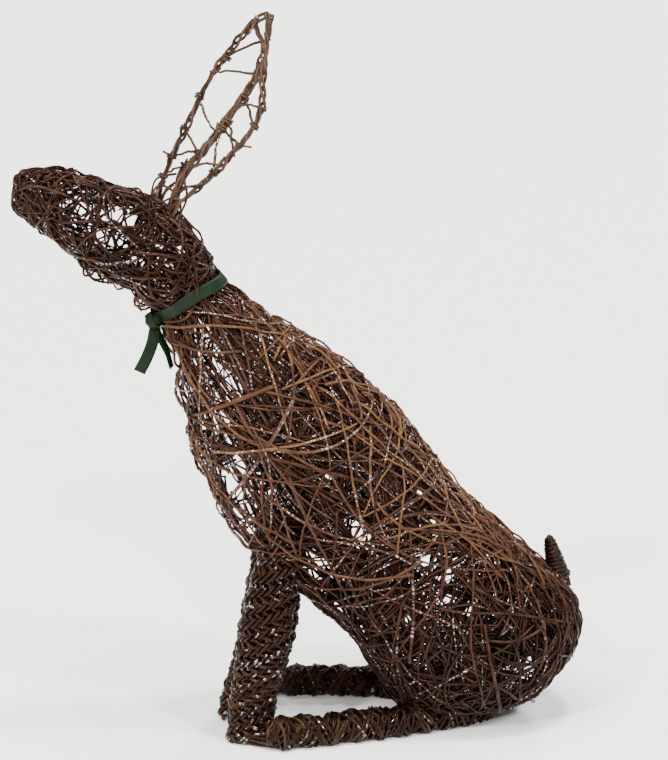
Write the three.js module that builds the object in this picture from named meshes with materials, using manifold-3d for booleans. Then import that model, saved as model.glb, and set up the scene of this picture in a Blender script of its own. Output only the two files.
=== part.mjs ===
// A sitting hare woven from willow rods, with a ribbon tied round its neck.
// Millimetres, +Z up. The hare faces -X and its left side faces -Y.
// The body is a hollow basket with real gaps in its wall. The ears are open loops of rods, the
// forelegs are close twined rows and the hind feet are wound bundles that lie on the ground.

import * as THREE from "three";
import { mergeVertices } from "three/addons/utils/BufferGeometryUtils.js";
import Module from "manifold-3d";

const wasm = await Module();
wasm.setup();

// Driving dimensions
const height = 764; // ground to the tips of the ears
const wall = 9; // thickness of the woven wall of the body
const gap = 0.3; // clearance between neighbouring pieces
const longRodDiameter = 5; // the long rods that lie on the outside of the body
const longRodSink = 0.2; // how far the middle of a long rod lies inside the wall's surface
const earEdgeDiameter = 6.5; // two thin rods twisted together along each edge of an ear
const earCrossDiameter = 3.6; // the single rods across an ear
const legHalfWidth = 22; // half the width of a foreleg at its top, seen from the front
const legRowPitch = 18; // height of one twined row of a foreleg, as carved here
const legRowRelief = 2.2; // how far a row stands out
const footRadius = 17.5;
const footWindPitch = 20; // length of one winding of a hind foot, as carved here
const footWindRelief = 1.8; // how far a winding stands out
const soleCut = 2; // how much of a foot's round section is flattened underneath
const tailRadius = 13;
const tailWindRelief = 1.6; // how far a winding of the tail stands out
const ribbonWidth = 13;
const ribbonThickness = 1.4;
const ribbonClearance = 2.6; // between the ribbon and the neck
const ribbonDrop = 54; // the longer hanging end, from the knot down
const knotSize = 17;

// The pose and outline are drawn in shares, of which the whole height has 980.
const share = height / 980;

// The outline of the body. Each station is a section across the spine: its top, its bottom and its
// half width, from the nose to the rump.
const stations = [
  { top: [-421, 762], bottom: [-422, 746], half: 8 },
  { top: [-414, 776], bottom: [-416, 729], half: 22 },
  { top: [-377, 784], bottom: [-388, 706], half: 35 },
  { top: [-335, 774], bottom: [-351, 676], half: 46 },
  { top: [-286, 757], bottom: [-312, 647], half: 54 },
  { top: [-242, 742], bottom: [-272, 624], half: 58 },
  { top: [-196, 708], bottom: [-251, 597], half: 57 },
  { top: [-150, 640], bottom: [-233, 568], half: 54 },
  { top: [-101, 590], bottom: [-214, 501], half: 66 },
  { top: [-46, 552], bottom: [-198, 440], half: 80 },
  { top: [11, 510], bottom: [-181, 377], half: 93 },
  { top: [62, 467], bottom: [-148, 304], half: 102 },
  { top: [109, 414], bottom: [-94, 243], half: 106 },
  { top: [153, 352], bottom: [-37, 188], half: 110 },
  { top: [202, 299], bottom: [14, 141], half: 117 },
  { top: [260, 246], bottom: [59, 72], half: 122 },
  { top: [313, 201], bottom: [91, 24], half: 120 },
  { top: [343, 162], bottom: [147, 9], half: 108 },
  { top: [345, 116], bottom: [205, 10], half: 87 },
  { top: [316, 75], bottom: [243, 14], half: 60 },
  { top: [279, 42], bottom: [256, 22], half: 24 },
];
const lastStation = stations.length - 1;
const topLine = new THREE.CatmullRomCurve3(
  stations.map((s) => new THREE.Vector3(s.top[0], s.half, s.top[1]).multiplyScalar(share)),
);
const bottomLine = new THREE.CatmullRomCurve3(
  stations.map((s) => new THREE.Vector3(s.bottom[0], s.half, s.bottom[1]).multiplyScalar(share)),
);

const fullness = 0.88; // under 1 a section is fuller than an ellipse
const leastRadius = 1; // so that an inset section never closes

// Cosine or sine of a turn, bent towards a fuller section.
function fuller(value) {
  return Math.sign(value) * Math.abs(value) ** fullness;
}

// A point of the body's surface. Station counts from the nose, turn is 0 along the back, a quarter
// on the left side and a half along the belly. Inset is measured inwards.
function skinPoint(station, turn, inset = 0) {
  const along = THREE.MathUtils.clamp(station / lastStation, 0, 1);
  const top = topLine.getPoint(along);
  const bottom = bottomLine.getPoint(along);
  const angle = turn * 2 * Math.PI;
  const middle = new THREE.Vector3((top.x + bottom.x) / 2, 0, (top.z + bottom.z) / 2);
  const rise = new THREE.Vector3((top.x - bottom.x) / 2, 0, (top.z - bottom.z) / 2);
  const halfDepth = Math.max(rise.length() - inset, leastRadius);
  const halfWidth = Math.max((top.y + bottom.y) / 2 - inset, leastRadius);
  middle.addScaledVector(rise.normalize(), halfDepth * fuller(Math.cos(angle)));
  return middle.setY(-halfWidth * fuller(Math.sin(angle)));
}

// A closed solid through rings of points, with a fan over each end, or a hoop without ends.
function loft(rings, hoop = false) {
  const count = rings[0].length;
  const points = [];
  const faces = [];
  rings.forEach((ring) => ring.forEach((p) => points.push(p.x, p.y, p.z)));
  for (let r = 0; r + (hoop ? 0 : 1) < rings.length; r += 1) {
    const next = (r + 1) % rings.length;
    for (let k = 0; k < count; k += 1) {
      const following = (k + 1) % count;
      const a = r * count + k;
      const b = r * count + following;
      const c = next * count + following;
      faces.push(a, b, c, a, c, next * count + k);
    }
  }
  const ends = hoop ? [] : [rings[0], rings[rings.length - 1]];
  ends.forEach((ring, end) => {
    const middle = ring.reduce((sum, p) => sum.add(p), new THREE.Vector3()).divideScalar(count);
    const centre = points.length / 3;
    points.push(middle.x, middle.y, middle.z);
    const first = end ? (rings.length - 1) * count : 0;
    for (let k = 0; k < count; k += 1) {
      const a = first + k;
      const b = first + ((k + 1) % count);
      faces.push(centre, end ? a : b, end ? b : a);
    }
  });
  const geometry = new THREE.BufferGeometry();
  geometry.setAttribute("position", new THREE.Float32BufferAttribute(points, 3));
  geometry.setIndex(faces);
  return geometry;
}

const mergeDistance = 1e-3;

function toSolid(geometry) {
  const bare = geometry.clone();
  bare.deleteAttribute("normal");
  bare.deleteAttribute("uv");
  const merged = mergeVertices(bare, mergeDistance);
  const mesh = new wasm.Mesh({
    numProp: 3,
    vertProperties: new Float32Array(merged.attributes.position.array),
    triVerts: new Uint32Array(merged.index.array),
  });
  const solid = new wasm.Manifold(mesh);
  return solid.volume() < 0 ? new wasm.Manifold(flipped(mesh)) : solid;
}

function flipped(mesh) {
  const faces = mesh.triVerts.slice();
  for (let k = 0; k < faces.length; k += 3) {
    [faces[k], faces[k + 1]] = [faces[k + 1], faces[k]];
  }
  return new wasm.Mesh({ numProp: 3, vertProperties: mesh.vertProperties, triVerts: faces });
}

function toGeometry(solid) {
  const mesh = solid.getMesh();
  const geometry = new THREE.BufferGeometry();
  geometry.setAttribute("position", new THREE.Float32BufferAttribute(mesh.vertProperties, 3));
  geometry.setIndex(Array.from(mesh.triVerts));
  geometry.computeVertexNormals();
  return geometry;
}

function joined(solids) {
  return solids.reduce((whole, next) => whole.add(next));
}

// A round rod along points.
function rod(points, diameter, steps, sides = 5) {
  const section = new THREE.Shape();
  for (let k = 0; k < sides; k += 1) {
    const angle = (k / sides) * 2 * Math.PI;
    const x = (diameter / 2) * Math.cos(angle);
    const y = (diameter / 2) * Math.sin(angle);
    if (k === 0) section.moveTo(x, y);
    else section.lineTo(x, y);
  }
  section.closePath();
  const path = new THREE.CatmullRomCurve3(points);
  return toSolid(new THREE.ExtrudeGeometry(section, { steps, extrudePath: path, curveSegments: 1 }));
}

// The body's skin as a solid, inset or swollen all over.
function skinSolid(first, last, rings, sides, inset) {
  const list = [];
  for (let r = 0; r <= rings; r += 1) {
    const station = first + ((last - first) * r) / rings;
    list.push(Array.from({ length: sides }, (_, k) => skinPoint(station, k / sides, inset)));
  }
  return toSolid(loft(list));
}

const skinRings = 20;
const skinSides = 16;
const hollowRings = 14;
const hollowSides = 10;
const hollowStart = 1.6; // station where the hollow begins, behind the nose
const hollowEnd = 18.6; // station where it ends, before the rump
const skin = skinSolid(0, lastStation, skinRings, skinSides, 0);
const swollenSkin = skinSolid(0, lastStation, skinRings, skinSides, -gap);
const hollow = skinSolid(hollowStart, hollowEnd, hollowRings, hollowSides, wall);

// Gaps between the rods, open from side to side: the station, how far up the section and the width.
const windows = [
  { station: 3.1, up: 0.35, width: 14 },
  { station: 4.0, up: 0.05, width: 19 },
  { station: 4.7, up: -0.4, width: 15 },
  { station: 5.2, up: 0.3, width: 13 },
  { station: 5.9, up: -0.2, width: 13 },
  { station: 8.6, up: 0, width: 19 },
  { station: 9.6, up: -0.6, width: 18 },
  { station: 10.4, up: -0.25, width: 17 },
  { station: 11.1, up: -0.65, width: 20 },
  { station: 11.6, up: 0.1, width: 19 },
  { station: 12.7, up: -0.5, width: 19 },
  { station: 13.5, up: -0.05, width: 19 },
  { station: 16.2, up: 0, width: 19 },
];
const windowSides = 5;
const windowReach = 4 * share * Math.max(...stations.map((s) => s.half)); // twice the body's width

function windowSolid({ station, up, width }, index) {
  const top = skinPoint(station, 0);
  const bottom = skinPoint(station, 0.5);
  const centre = bottom.lerp(top, (up + 1) / 2);
  const geometry = new THREE.CylinderGeometry(width / 2, width / 2, windowReach, windowSides);
  geometry.rotateY(index);
  geometry.translate(centre.x, 0, centre.z);
  return toSolid(geometry);
}

// A long rod over the outside, which runs evenly in station and turn, with a light wave.
function longRod(from, to, wave, steps) {
  const points = [];
  for (let k = 0; k <= steps; k += 1) {
    const along = k / steps;
    const station = THREE.MathUtils.lerp(from.station, to.station, along);
    const turn = THREE.MathUtils.lerp(from.turn, to.turn, along) + wave * Math.sin(along * 2 * Math.PI);
    points.push(skinPoint(station, turn, longRodSink));
  }
  return rod(points, longRodDiameter, steps, 4);
}

// On each side, three pairs that cross on the trunk and one rod along the head.
const rodPairs = 3;
const firstPair = 8.2; // station
const pairSpacing = 2.9; // stations
const bellyToBack = { reach: 3.6, start: 0.44, end: 0.03, wave: 0.02 };
const backToBelly = { reach: 3.4, start: 0.05, end: 0.43, wave: -0.025 };
const pairStagger = 0.2; // stations by which the second rod of a pair is moved, apart on the two sides
const headRod = { from: 1.4, to: 5.6, start: 0.06, end: 0.36, wave: 0.02 };

function longRods() {
  const rods = [];
  [1, -1].forEach((side) => {
    const place = (station, turn) => ({ station, turn: side * turn });
    for (let k = 0; k < rodPairs; k += 1) {
      [bellyToBack, backToBelly].forEach(({ reach, start, end, wave }, second) => {
        const first = firstPair + pairSpacing * k - second * side * pairStagger;
        const last = firstPair + pairSpacing * k + reach;
        rods.push(longRod(place(first, start), place(last, end), wave, 8));
      });
    }
    const { from, to, start, end, wave } = headRod;
    rods.push(longRod(place(from, start), place(to, end), wave, 6));
  });
  return rods;
}

// A foreleg: rings that lean forwards towards the paw, in rows that stand out, cut flat at the
// ground. Each level is a height in shares, with the middle and the half depth of the leg there.
const legLean = 0.55; // slope of the lowest rows, from front to back
const leanStart = 0.25; // share of the leg, from its top, above which the rows lie level
const legTaper = 0.12; // by how much the width shrinks from the top to the paw
const legSides = 8;
const forelegs = {
  foreleg_left: {
    middle: -45,
    levels: [[285, -74, 33], [192, -97, 36], [109, -110, 36], [51, -121, 33], [-38, -128, 29]],
  },
  foreleg_right: {
    middle: 42,
    levels: [[285, -63, 34], [192, -78, 39], [109, -90, 44], [51, -106, 46], [-38, -129, 42]],
  },
};

function forelegSolid({ middle, levels }, swell = 0) {
  const line = new THREE.CatmullRomCurve3(
    levels.map(([z, x, half]) => new THREE.Vector3(x, half, z).multiplyScalar(share)),
  );
  const legLength = share * (levels[0][0] - levels[levels.length - 1][0]);
  const rows = Math.round(legLength / legRowPitch);
  const rings = [];
  for (let r = 0; r <= rows * 2; r += 1) {
    const along = r / (rows * 2);
    const centre = line.getPoint(along);
    const relief = (r % 2 ? legRowRelief : 0) + swell;
    const slope = legLean * Math.max(0, along - leanStart);
    const halfWidth = legHalfWidth * (1 - legTaper * along);
    rings.push(
      Array.from({ length: legSides }, (_, k) => {
        const angle = (k / legSides) * 2 * Math.PI;
        const forwards = (centre.y + relief) * Math.cos(angle);
        const sideways = (halfWidth + relief) * Math.sin(angle);
        const y = middle * share + sideways;
        return new THREE.Vector3(centre.x + forwards, y, centre.z + forwards * slope);
      }),
    );
  }
  const solid = toSolid(loft(rings));
  return swell ? solid : solid.subtract(ground()).subtract(swollenSkin);
}

function ground() {
  const geometry = new THREE.BoxGeometry(2 * height, 2 * height, height);
  geometry.translate(0, 0, -height / 2);
  return toSolid(geometry);
}

// A hind foot: a wound bundle from the toe, on the ground, back under the haunch. Its route lies on
// the ground, in shares. The toe seats against the paw in front of it.
const footSides = 8;
const toeBluntness = 0.62; // radius of the toe's end, as a share of the foot's
const toeLength = 0.063; // share of the foot over which the toe grows to the full radius
const heelBluntness = 0.7;
const heelLength = 0.06;
const hindFeet = {
  hind_foot_left: [[-112, -82], [-30, -78], [60, -68], [138, -54], [215, -33]],
  hind_foot_right: [[-62, 120], [14, 106], [80, 86], [144, 62], [215, 37]],
};

function footRounding(along) {
  const toe = toeBluntness + ((1 - toeBluntness) * along) / toeLength;
  const heel = heelBluntness + ((1 - heelBluntness) * (1 - along)) / heelLength;
  return Math.min(1, toe, heel);
}

function hindFootSolid(route, swell = 0) {
  const lift = footRadius - soleCut;
  const path = new THREE.CatmullRomCurve3(
    route.map(([x, y]) => new THREE.Vector3(x * share, y * share, lift)),
  );
  const winds = Math.round(path.getLength() / footWindPitch);
  const rings = [];
  for (let r = 0; r <= winds * 2; r += 1) {
    const along = r / (winds * 2);
    const centre = path.getPointAt(along);
    const heading = path.getTangentAt(along);
    const across = new THREE.Vector3(-heading.y, heading.x, 0);
    const radius = (footRadius + (r % 2 ? footWindRelief : 0)) * footRounding(along) + swell;
    rings.push(
      Array.from({ length: footSides }, (_, k) => {
        const angle = ((k + 0.5) / footSides) * 2 * Math.PI;
        const rise = new THREE.Vector3(0, 0, radius * Math.sin(angle));
        return centre.clone().addScaledVector(across, radius * Math.cos(angle)).add(rise);
      }),
    );
  }
  const solid = toSolid(loft(rings));
  if (swell) return solid;
  const legs = Object.values(forelegs).map((leg) => forelegSolid(leg, gap));
  return legs.reduce((foot, leg) => foot.subtract(leg), solid.subtract(ground()));
}

// The tail: a wound cone on the rump, with its foot and tip given as x and z in shares.
const tailFoot = [321, 190];
const tailTip = [305, 249];
const tailRings = 9;
const tailSides = 8;
const tailTipRadius = 0.6;
const tailBluntness = 0.75; // under 1 the cone is rounded out

function tailSolid() {
  const foot = new THREE.Vector3(tailFoot[0], 0, tailFoot[1]).multiplyScalar(share);
  const tip = new THREE.Vector3(tailTip[0], 0, tailTip[1]).multiplyScalar(share);
  const across = new THREE.Vector3(0, 1, 0);
  const out = new THREE.Vector3().crossVectors(across, tip.clone().sub(foot).normalize());
  const rings = [];
  for (let r = 0; r <= tailRings; r += 1) {
    const along = r / tailRings;
    const relief = r % 2 ? tailWindRelief : tailTipRadius;
    const radius = tailRadius * (1 - along) ** tailBluntness + relief;
    const centre = foot.clone().lerp(tip, along);
    rings.push(
      Array.from({ length: tailSides }, (_, k) => {
        const angle = (k / tailSides) * 2 * Math.PI;
        return centre
          .clone()
          .addScaledVector(across, radius * Math.cos(angle))
          .addScaledVector(out, radius * Math.sin(angle));
      }),
    );
  }
  return toSolid(loft(rings)).subtract(swollenSkin);
}

// An ear: its two edges in shares, traced from the root to the tip, and rods across. Each rod
// across joins a place on the front edge to one on the rear edge, both as shares of their lengths.
const ears = {
  ear_right: {
    front: [[-238, 13, 736], [-222, 13, 774], [-197, 12, 827], [-171, 12, 878], [-135, 10, 927]],
    rear: [
      [-213, 18, 718], [-204, 23, 769], [-174, 28, 797],
      [-132, 33, 846], [-100, 31, 887], [-86, 18, 933],
    ],
    tip: [-100, 9, 968],
    cross: [[0.86, 0.84], [0.72, 0.72], [0.62, 0.46], [0.5, 0.33], [0.38, 0.24]],
  },
  ear_left: {
    front: [
      [-226, -15, 718], [-206, -15, 760], [-185, -15, 791],
      [-155, -15, 826], [-127, -17, 863], [-99, -15, 908],
    ],
    rear: [
      [-209, -21, 718], [-178, -33, 764], [-128, -46, 818],
      [-105, -49, 856], [-99, -41, 900], [-88, -21, 944],
    ],
    tip: [-85, -8, 974],
    cross: [[0.64, 0.66], [0.52, 0.56], [0.44, 0.4], [0.3, 0.34], [0.2, 0.24]],
  },
};
const tipKnot = 0.62; // radius of the knot at the tip, as a share of the edge's diameter

function earSolid({ front, rear, tip, cross }) {
  const toPoints = (places) => [...places, tip].map((p) => new THREE.Vector3(...p).multiplyScalar(share));
  const frontLine = new THREE.CatmullRomCurve3(toPoints(front));
  const rearLine = new THREE.CatmullRomCurve3(toPoints(rear));
  const parts = [rod(frontLine.points, earEdgeDiameter, 9), rod(rearLine.points, earEdgeDiameter, 11)];
  cross.forEach(([a, b]) => {
    parts.push(rod([frontLine.getPointAt(a), rearLine.getPointAt(b)], earCrossDiameter, 1));
  });
  const knot = new THREE.SphereGeometry(earEdgeDiameter * tipKnot, 6, 4);
  knot.translate(...frontLine.getPointAt(1).toArray());
  parts.push(toSolid(knot));
  return joined(parts).subtract(swollenSkin);
}

// The ribbon: a band round the neck, a knot under the throat and two hanging ends, whose points
// are measured from the knot as shares of the longer end's drop.
const ribbonTop = 7.05; // station of the band along the back
const ribbonBottom = 6.5; // and under the throat
const ribbonSteps = 24;
const knotTurn = 0.455; // just left of the middle of the throat
const knotSink = 1 / 3; // how far the knot's middle stands off the band, as a share of its size
const knotShape = [0.8, 0.9, 1.1];
const endTwist = { start: -0.9, rate: 0.1 }; // radians about the end's own line, and for each step
const endSteps = 8;
const ribbonEnds = [
  [[-0.02, -0.11, -0.31], [-0.15, -0.17, -0.65], [-0.31, -0.17, -0.95]],
  [[0.11, -0.02, -0.33], [0.24, 0, -0.61], [0.33, 0, -0.93]],
];

function ribbonBand() {
  const inner = -ribbonClearance;
  const outer = inner - ribbonThickness;
  const rings = [];
  for (let k = 0; k < ribbonSteps; k += 1) {
    const turn = k / ribbonSteps;
    const round = (1 - Math.cos(turn * 2 * Math.PI)) / 2;
    const station = THREE.MathUtils.lerp(ribbonTop, ribbonBottom, round);
    const along = skinPoint(station + 0.1, turn).sub(skinPoint(station - 0.1, turn)).normalize();
    rings.push(
      [[-1, inner], [1, inner], [1, outer], [-1, outer]].map(([edge, inset]) =>
        skinPoint(station, turn, inset).addScaledVector(along, (edge * ribbonWidth) / 2),
      ),
    );
  }
  return toSolid(loft(rings, true));
}

function knotCentre() {
  return skinPoint(ribbonBottom, knotTurn, -ribbonClearance - knotSize * knotSink);
}

function ribbonEnd(places) {
  const knot = knotCentre();
  const points = places.map((p) => new THREE.Vector3(...p).multiplyScalar(ribbonDrop).add(knot));
  const path = new THREE.CatmullRomCurve3([knot, ...points]);
  const rows = [];
  for (let k = 0; k <= endSteps; k += 1) {
    const centre = path.getPoint(k / endSteps);
    const heading = path.getTangent(k / endSteps);
    const twist = endTwist.start + endTwist.rate * k;
    const across = new THREE.Vector3(0, 1, 0).applyAxisAngle(heading, twist);
    const flat = new THREE.Vector3().crossVectors(heading, across);
    rows.push(
      [[-1, -1], [1, -1], [1, 1], [-1, 1]].map(([a, b]) =>
        centre
          .clone()
          .addScaledVector(across, (a * ribbonWidth) / 2)
          .addScaledVector(flat, (b * ribbonThickness) / 2),
      ),
    );
  }
  return toSolid(loft(rows));
}

function ribbonSolid() {
  const knot = new THREE.SphereGeometry(knotSize / 2, 8, 6);
  knot.scale(...knotShape);
  knot.translate(...knotCentre().toArray());
  const tied = joined([toSolid(knot), ...ribbonEnds.map(ribbonEnd)]).subtract(swollenSkin);
  return tied.add(ribbonBand());
}

// The body last, because the feet and the other pieces seat in it.
function bodySolid() {
  const basket = windows.map(windowSolid).reduce((solid, cut) => solid.subtract(cut), skin.subtract(hollow));
  const feet = Object.values(hindFeet).map((route) => hindFootSolid(route, gap));
  const legs = Object.values(forelegs).map((leg) => forelegSolid(leg, gap));
  const rods = legs.reduce((solid, leg) => solid.subtract(leg), joined(longRods()));
  return feet.reduce((solid, foot) => solid.subtract(foot), basket.add(rods)).subtract(ground());
}

const willow = { color: 0x6b4630, roughness: 0.62, metalness: 0 };
const darkWillow = { color: 0x53382c, roughness: 0.66, metalness: 0 };
const ribbonGreen = { color: 0x3d5f45, roughness: 0.45, metalness: 0 };

const solids = [["woven_body", bodySolid(), willow]];
Object.entries(ears).forEach(([name, ear]) => solids.push([name, earSolid(ear), willow]));
Object.entries(forelegs).forEach(([name, leg]) => solids.push([name, forelegSolid(leg), darkWillow]));
Object.entries(hindFeet).forEach(([name, route]) => solids.push([name, hindFootSolid(route), darkWillow]));
solids.push(["tail", tailSolid(), darkWillow]);
solids.push(["neck_ribbon", ribbonSolid(), ribbonGreen]);

const hare = new THREE.Group();
solids.forEach(([name, solid, finish]) => {
  const mesh = new THREE.Mesh(toGeometry(solid), new THREE.MeshStandardMaterial(finish));
  mesh.name = name;
  hare.add(mesh);
});

// The origin is under the middle of the whole hare, on the ground.
const box = new THREE.Box3().setFromObject(hare);
const centre = box.getCenter(new THREE.Vector3());
hare.position.set(-centre.x, -centre.y, -box.min.z);

const wovenHare = new THREE.Group();
wovenHare.add(hare);

export default wovenHare;
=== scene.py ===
"""A sitting hare woven from willow rods, with a ribbon tied round its neck.

The solid model gives the hare's outline and pose. This file weaves rods over the same outline: a
lining of fine rods, layers of common rods, thick ribs, loose outline rods, open ears, twined
forelegs and wound hind feet. Lengths are in metres unless a name says that they are shares.
"""

import math

import bmesh
import bpy
import numpy as np
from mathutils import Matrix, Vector


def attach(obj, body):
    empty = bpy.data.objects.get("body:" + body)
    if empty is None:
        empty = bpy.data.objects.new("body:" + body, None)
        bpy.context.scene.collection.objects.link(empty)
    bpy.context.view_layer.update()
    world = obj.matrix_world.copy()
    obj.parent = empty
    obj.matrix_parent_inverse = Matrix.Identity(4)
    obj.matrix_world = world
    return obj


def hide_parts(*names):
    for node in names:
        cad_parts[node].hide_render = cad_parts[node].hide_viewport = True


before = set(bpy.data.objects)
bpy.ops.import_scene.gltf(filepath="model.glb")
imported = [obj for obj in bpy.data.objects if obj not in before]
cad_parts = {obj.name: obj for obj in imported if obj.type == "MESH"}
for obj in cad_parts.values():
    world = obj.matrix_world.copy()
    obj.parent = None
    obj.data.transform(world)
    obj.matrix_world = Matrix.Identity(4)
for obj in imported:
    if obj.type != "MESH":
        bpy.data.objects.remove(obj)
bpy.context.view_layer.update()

bl_info = {
    "name": "Woven willow hare",
    "version": (1, 0, 0),
    "blender": (4, 5, 0),
    "location": "View3D > Sidebar > Hare",
    "description": "Weaves a sitting hare from willow rods around its solid model",
    "category": "Add Mesh",
}

# The outline, in shares of which the whole height has 980, as in the solid model.
HEIGHT = 0.764
SHARE = HEIGHT / 980
ORIGIN = np.array([0.02839, -0.00518, 0.0])  # the outline's own origin, in the frame

# Sections across the spine from the nose to the rump: top x and z, bottom x and z, half width.
STATIONS = np.array([
    (-421, 762, -422, 746, 8),
    (-414, 776, -416, 729, 22),
    (-377, 784, -388, 706, 35),
    (-335, 774, -351, 676, 46),
    (-286, 757, -312, 647, 54),
    (-242, 742, -272, 624, 58),
    (-196, 708, -251, 597, 57),
    (-150, 640, -233, 568, 54),
    (-101, 590, -214, 501, 66),
    (-46, 552, -198, 440, 80),
    (11, 510, -181, 377, 93),
    (62, 467, -148, 304, 102),
    (109, 414, -94, 243, 106),
    (153, 352, -37, 188, 110),
    (202, 299, 14, 141, 117),
    (260, 246, 59, 72, 122),
    (313, 201, 91, 24, 120),
    (343, 162, 147, 9, 108),
    (345, 116, 205, 10, 87),
    (316, 75, 243, 14, 60),
    (279, 42, 256, 22, 24),
], float)
LAST_STATION = len(STATIONS) - 1
FULLNESS = 0.88  # under 1 a section is fuller than an ellipse
BODY_REACH = (0.3, 19.75)  # the stations that rods stay between
HEAD_REACH = (0.05, 8.5)

# How a rod lies: its ends go in over TUCK_RUN, and it passes over others every WAVE_RUN.
TUCK_RUN = 0.010
WAVE_RUN = (0.022, 0.045)
SHARPEST_BEND = 0.6  # the cosine of the bend at which a rod is cut off

# The body's rods are darker towards the ground and on the head, as painted shade: heights and shares of the
# tone.
PAINTED_SHADE_BY_HEIGHT = ([0.0, 0.33, 0.46, 0.51], [0.10, 1.0, 1.0, 0.36])
# Heights, and the share of the rods there that are glossy.
GLOSSY_BY_HEIGHT = ([0.0, 0.12, 0.24, 0.46, 0.50], [0.10, 0.16, 0.38, 0.38, 0.22])
DUSTY_SHARE = 0.3  # of the rods

# Bark: how many to a metre, and how far mottling moves the tone.
GRAINS = 650.0
MOTTLES = 45.0
GLOSSY_CLUSTERS = 30.0
MOTTLE_TONE = 0.35
LIMB_TINT = (1.25, 0.85, 0.65)  # the legs' and feet's bark is a redder brown

# Forelegs: middle across, then height, x and half depth at each level.
FORELEGS = {
    "foreleg_left": (-45, [(285, -74, 33), (192, -97, 36), (109, -110, 36), (51, -121, 33), (-38, -128, 29)]),
    "foreleg_right": (42, [(285, -63, 34), (192, -78, 39), (109, -90, 44), (51, -106, 46), (-38, -129, 42)]),
}
LEG_HALF_WIDTH = 0.022
LEG_HALF_DEPTH = 0.028  # in the middle, to reckon how many stakes go round
LEG_TAPER = 0.12
LEG_LEAN = 0.35
LEAN_START = 0.28
OVER_SHARE = 0.6  # how much of its run a twined rod lies outside
STROKE_POINTS = 5
STAKES = 26
STAKE_RADIUS = 0.0034
BULGE_RUN = 0.022  # the rows swell and narrow once over this height

# Hind feet: their route on the ground from the toe back.
HIND_FEET = {
    "hind_foot_left": [(-112, -82), (-30, -78), (60, -68), (138, -54), (215, -33)],
    "hind_foot_right": [(-62, 120), (14, 106), (80, 86), (144, 62), (215, 37)],
}
FOOT_RADIUS = 0.0170
SOLE_CUT = 0.002
CORE_RODS = 14
CORE_RADIUS = 0.0036
WIND_LAYERS = 4
WINDINGS = 24  # in each layer, and TOE_WINDINGS more at the toe
TOE_WINDINGS = 5
STRAYS = 9  # loose rods between the near paw and the near foot

TAIL_FOOT = (321, 190)
TAIL_TIP = (305, 249)
TAIL_RADIUS = 0.013
TAIL_LAYERS = 4
TAIL_TURNS = 11
TAIL_CORE_RODS = 10

# Ears: the two edges from the root, the tip they share, and where rods cross from edge to edge.
EARS = {
    "ear_right": {
        "front": [(-238, 13, 736), (-222, 13, 774), (-197, 12, 827), (-171, 12, 878), (-135, 10, 927)],
        "rear": [(-213, 18, 718), (-204, 23, 769), (-174, 28, 797), (-132, 33, 846), (-100, 31, 887),
                 (-86, 18, 933)],
        "tip": (-100, 9, 968),
        "cross": [(0.81, 0.91), (0.72, 0.77), (0.60, 0.49), (0.44, 0.37), (0.31, 0.38), (0.21, 0.29)],
    },
    "ear_left": {
        "front": [(-226, -15, 718), (-206, -15, 760), (-185, -15, 791), (-155, -15, 826), (-127, -17, 863),
                  (-99, -15, 908)],
        "rear": [(-219, -20, 735), (-180, -33, 764), (-128, -46, 818), (-105, -49, 856), (-99, -41, 900),
                 (-88, -21, 944)],
        "tip": (-85, -8, 974),
        "cross": [(0.64, 0.63), (0.67, 0.55), (0.56, 0.43), (0.51, 0.47), (0.50, 0.32), (0.32, 0.34),
                  (0.2, 0.24)],
    },
}
EAR_STEPS = 53  # along each edge
EAR_ROOT = 0.022  # how far an edge goes into the head
EAR_ROOT_RODS = 9
EAR_PAST_TIP = (-86, 4, 976)  # where the right ear's rods end, past its tip

# The ribbon: stations of its band on the back and under the throat, and where the knot sits.
RIBBON_TOP = 7.05
RIBBON_BOTTOM = 6.5
KNOT_TURN = 0.455
KNOT_OUT = 0.0050
KNOT_AXES = [(0.9, 0.3, 0.3), (0.2, 0.4, 0.9), (0.6, -0.6, 0.5)]
RIBBON_DROP = 0.054
PINCH = 0.006  # how far the ribbon draws the rods in, over PINCH_RUN to either side
PINCH_RUN = 0.015
# Its hanging ends: the way that each faces, and its route from the knot in shares of the drop.
RIBBON_ENDS = [
    ((-0.25, 1.0, 0.1), [(-0.02, -0.11, -0.31), (-0.15, -0.17, -0.65), (-0.31, -0.17, -0.95)]),
    ((1.0, -0.6, 0.1), [(0.11, -0.02, -0.33), (0.24, 0.0, -0.61), (0.33, 0.0, -0.93)]),
]
RIBBON_TURN = np.array([0.3, 0.2, 0])  # how an end's facing changes down its length

ACROSS = np.array([0.0, 1.0, 0.0])
UP = np.array([0.0, 0.0, 1.0])

CAMERA_AZIMUTH = math.radians(-11)
CAMERA_HEIGHT = math.radians(13)
CAMERA_DISTANCE = 2.4
CAMERA_TARGET = ORIGIN + np.array([0.0, 0.0, 0.38])
CAMERA_LENS = 108.3
SENSOR = 36.0
CAMERA_LEVEL = np.array([math.sin(CAMERA_AZIMUTH), -math.cos(CAMERA_AZIMUTH), 0.0])
CAMERA_BACK = CAMERA_LEVEL * math.cos(CAMERA_HEIGHT) + UP * math.sin(CAMERA_HEIGHT)
LOOKED_FROM = np.round(CAMERA_TARGET + CAMERA_BACK * CAMERA_DISTANCE, 3)
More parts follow.
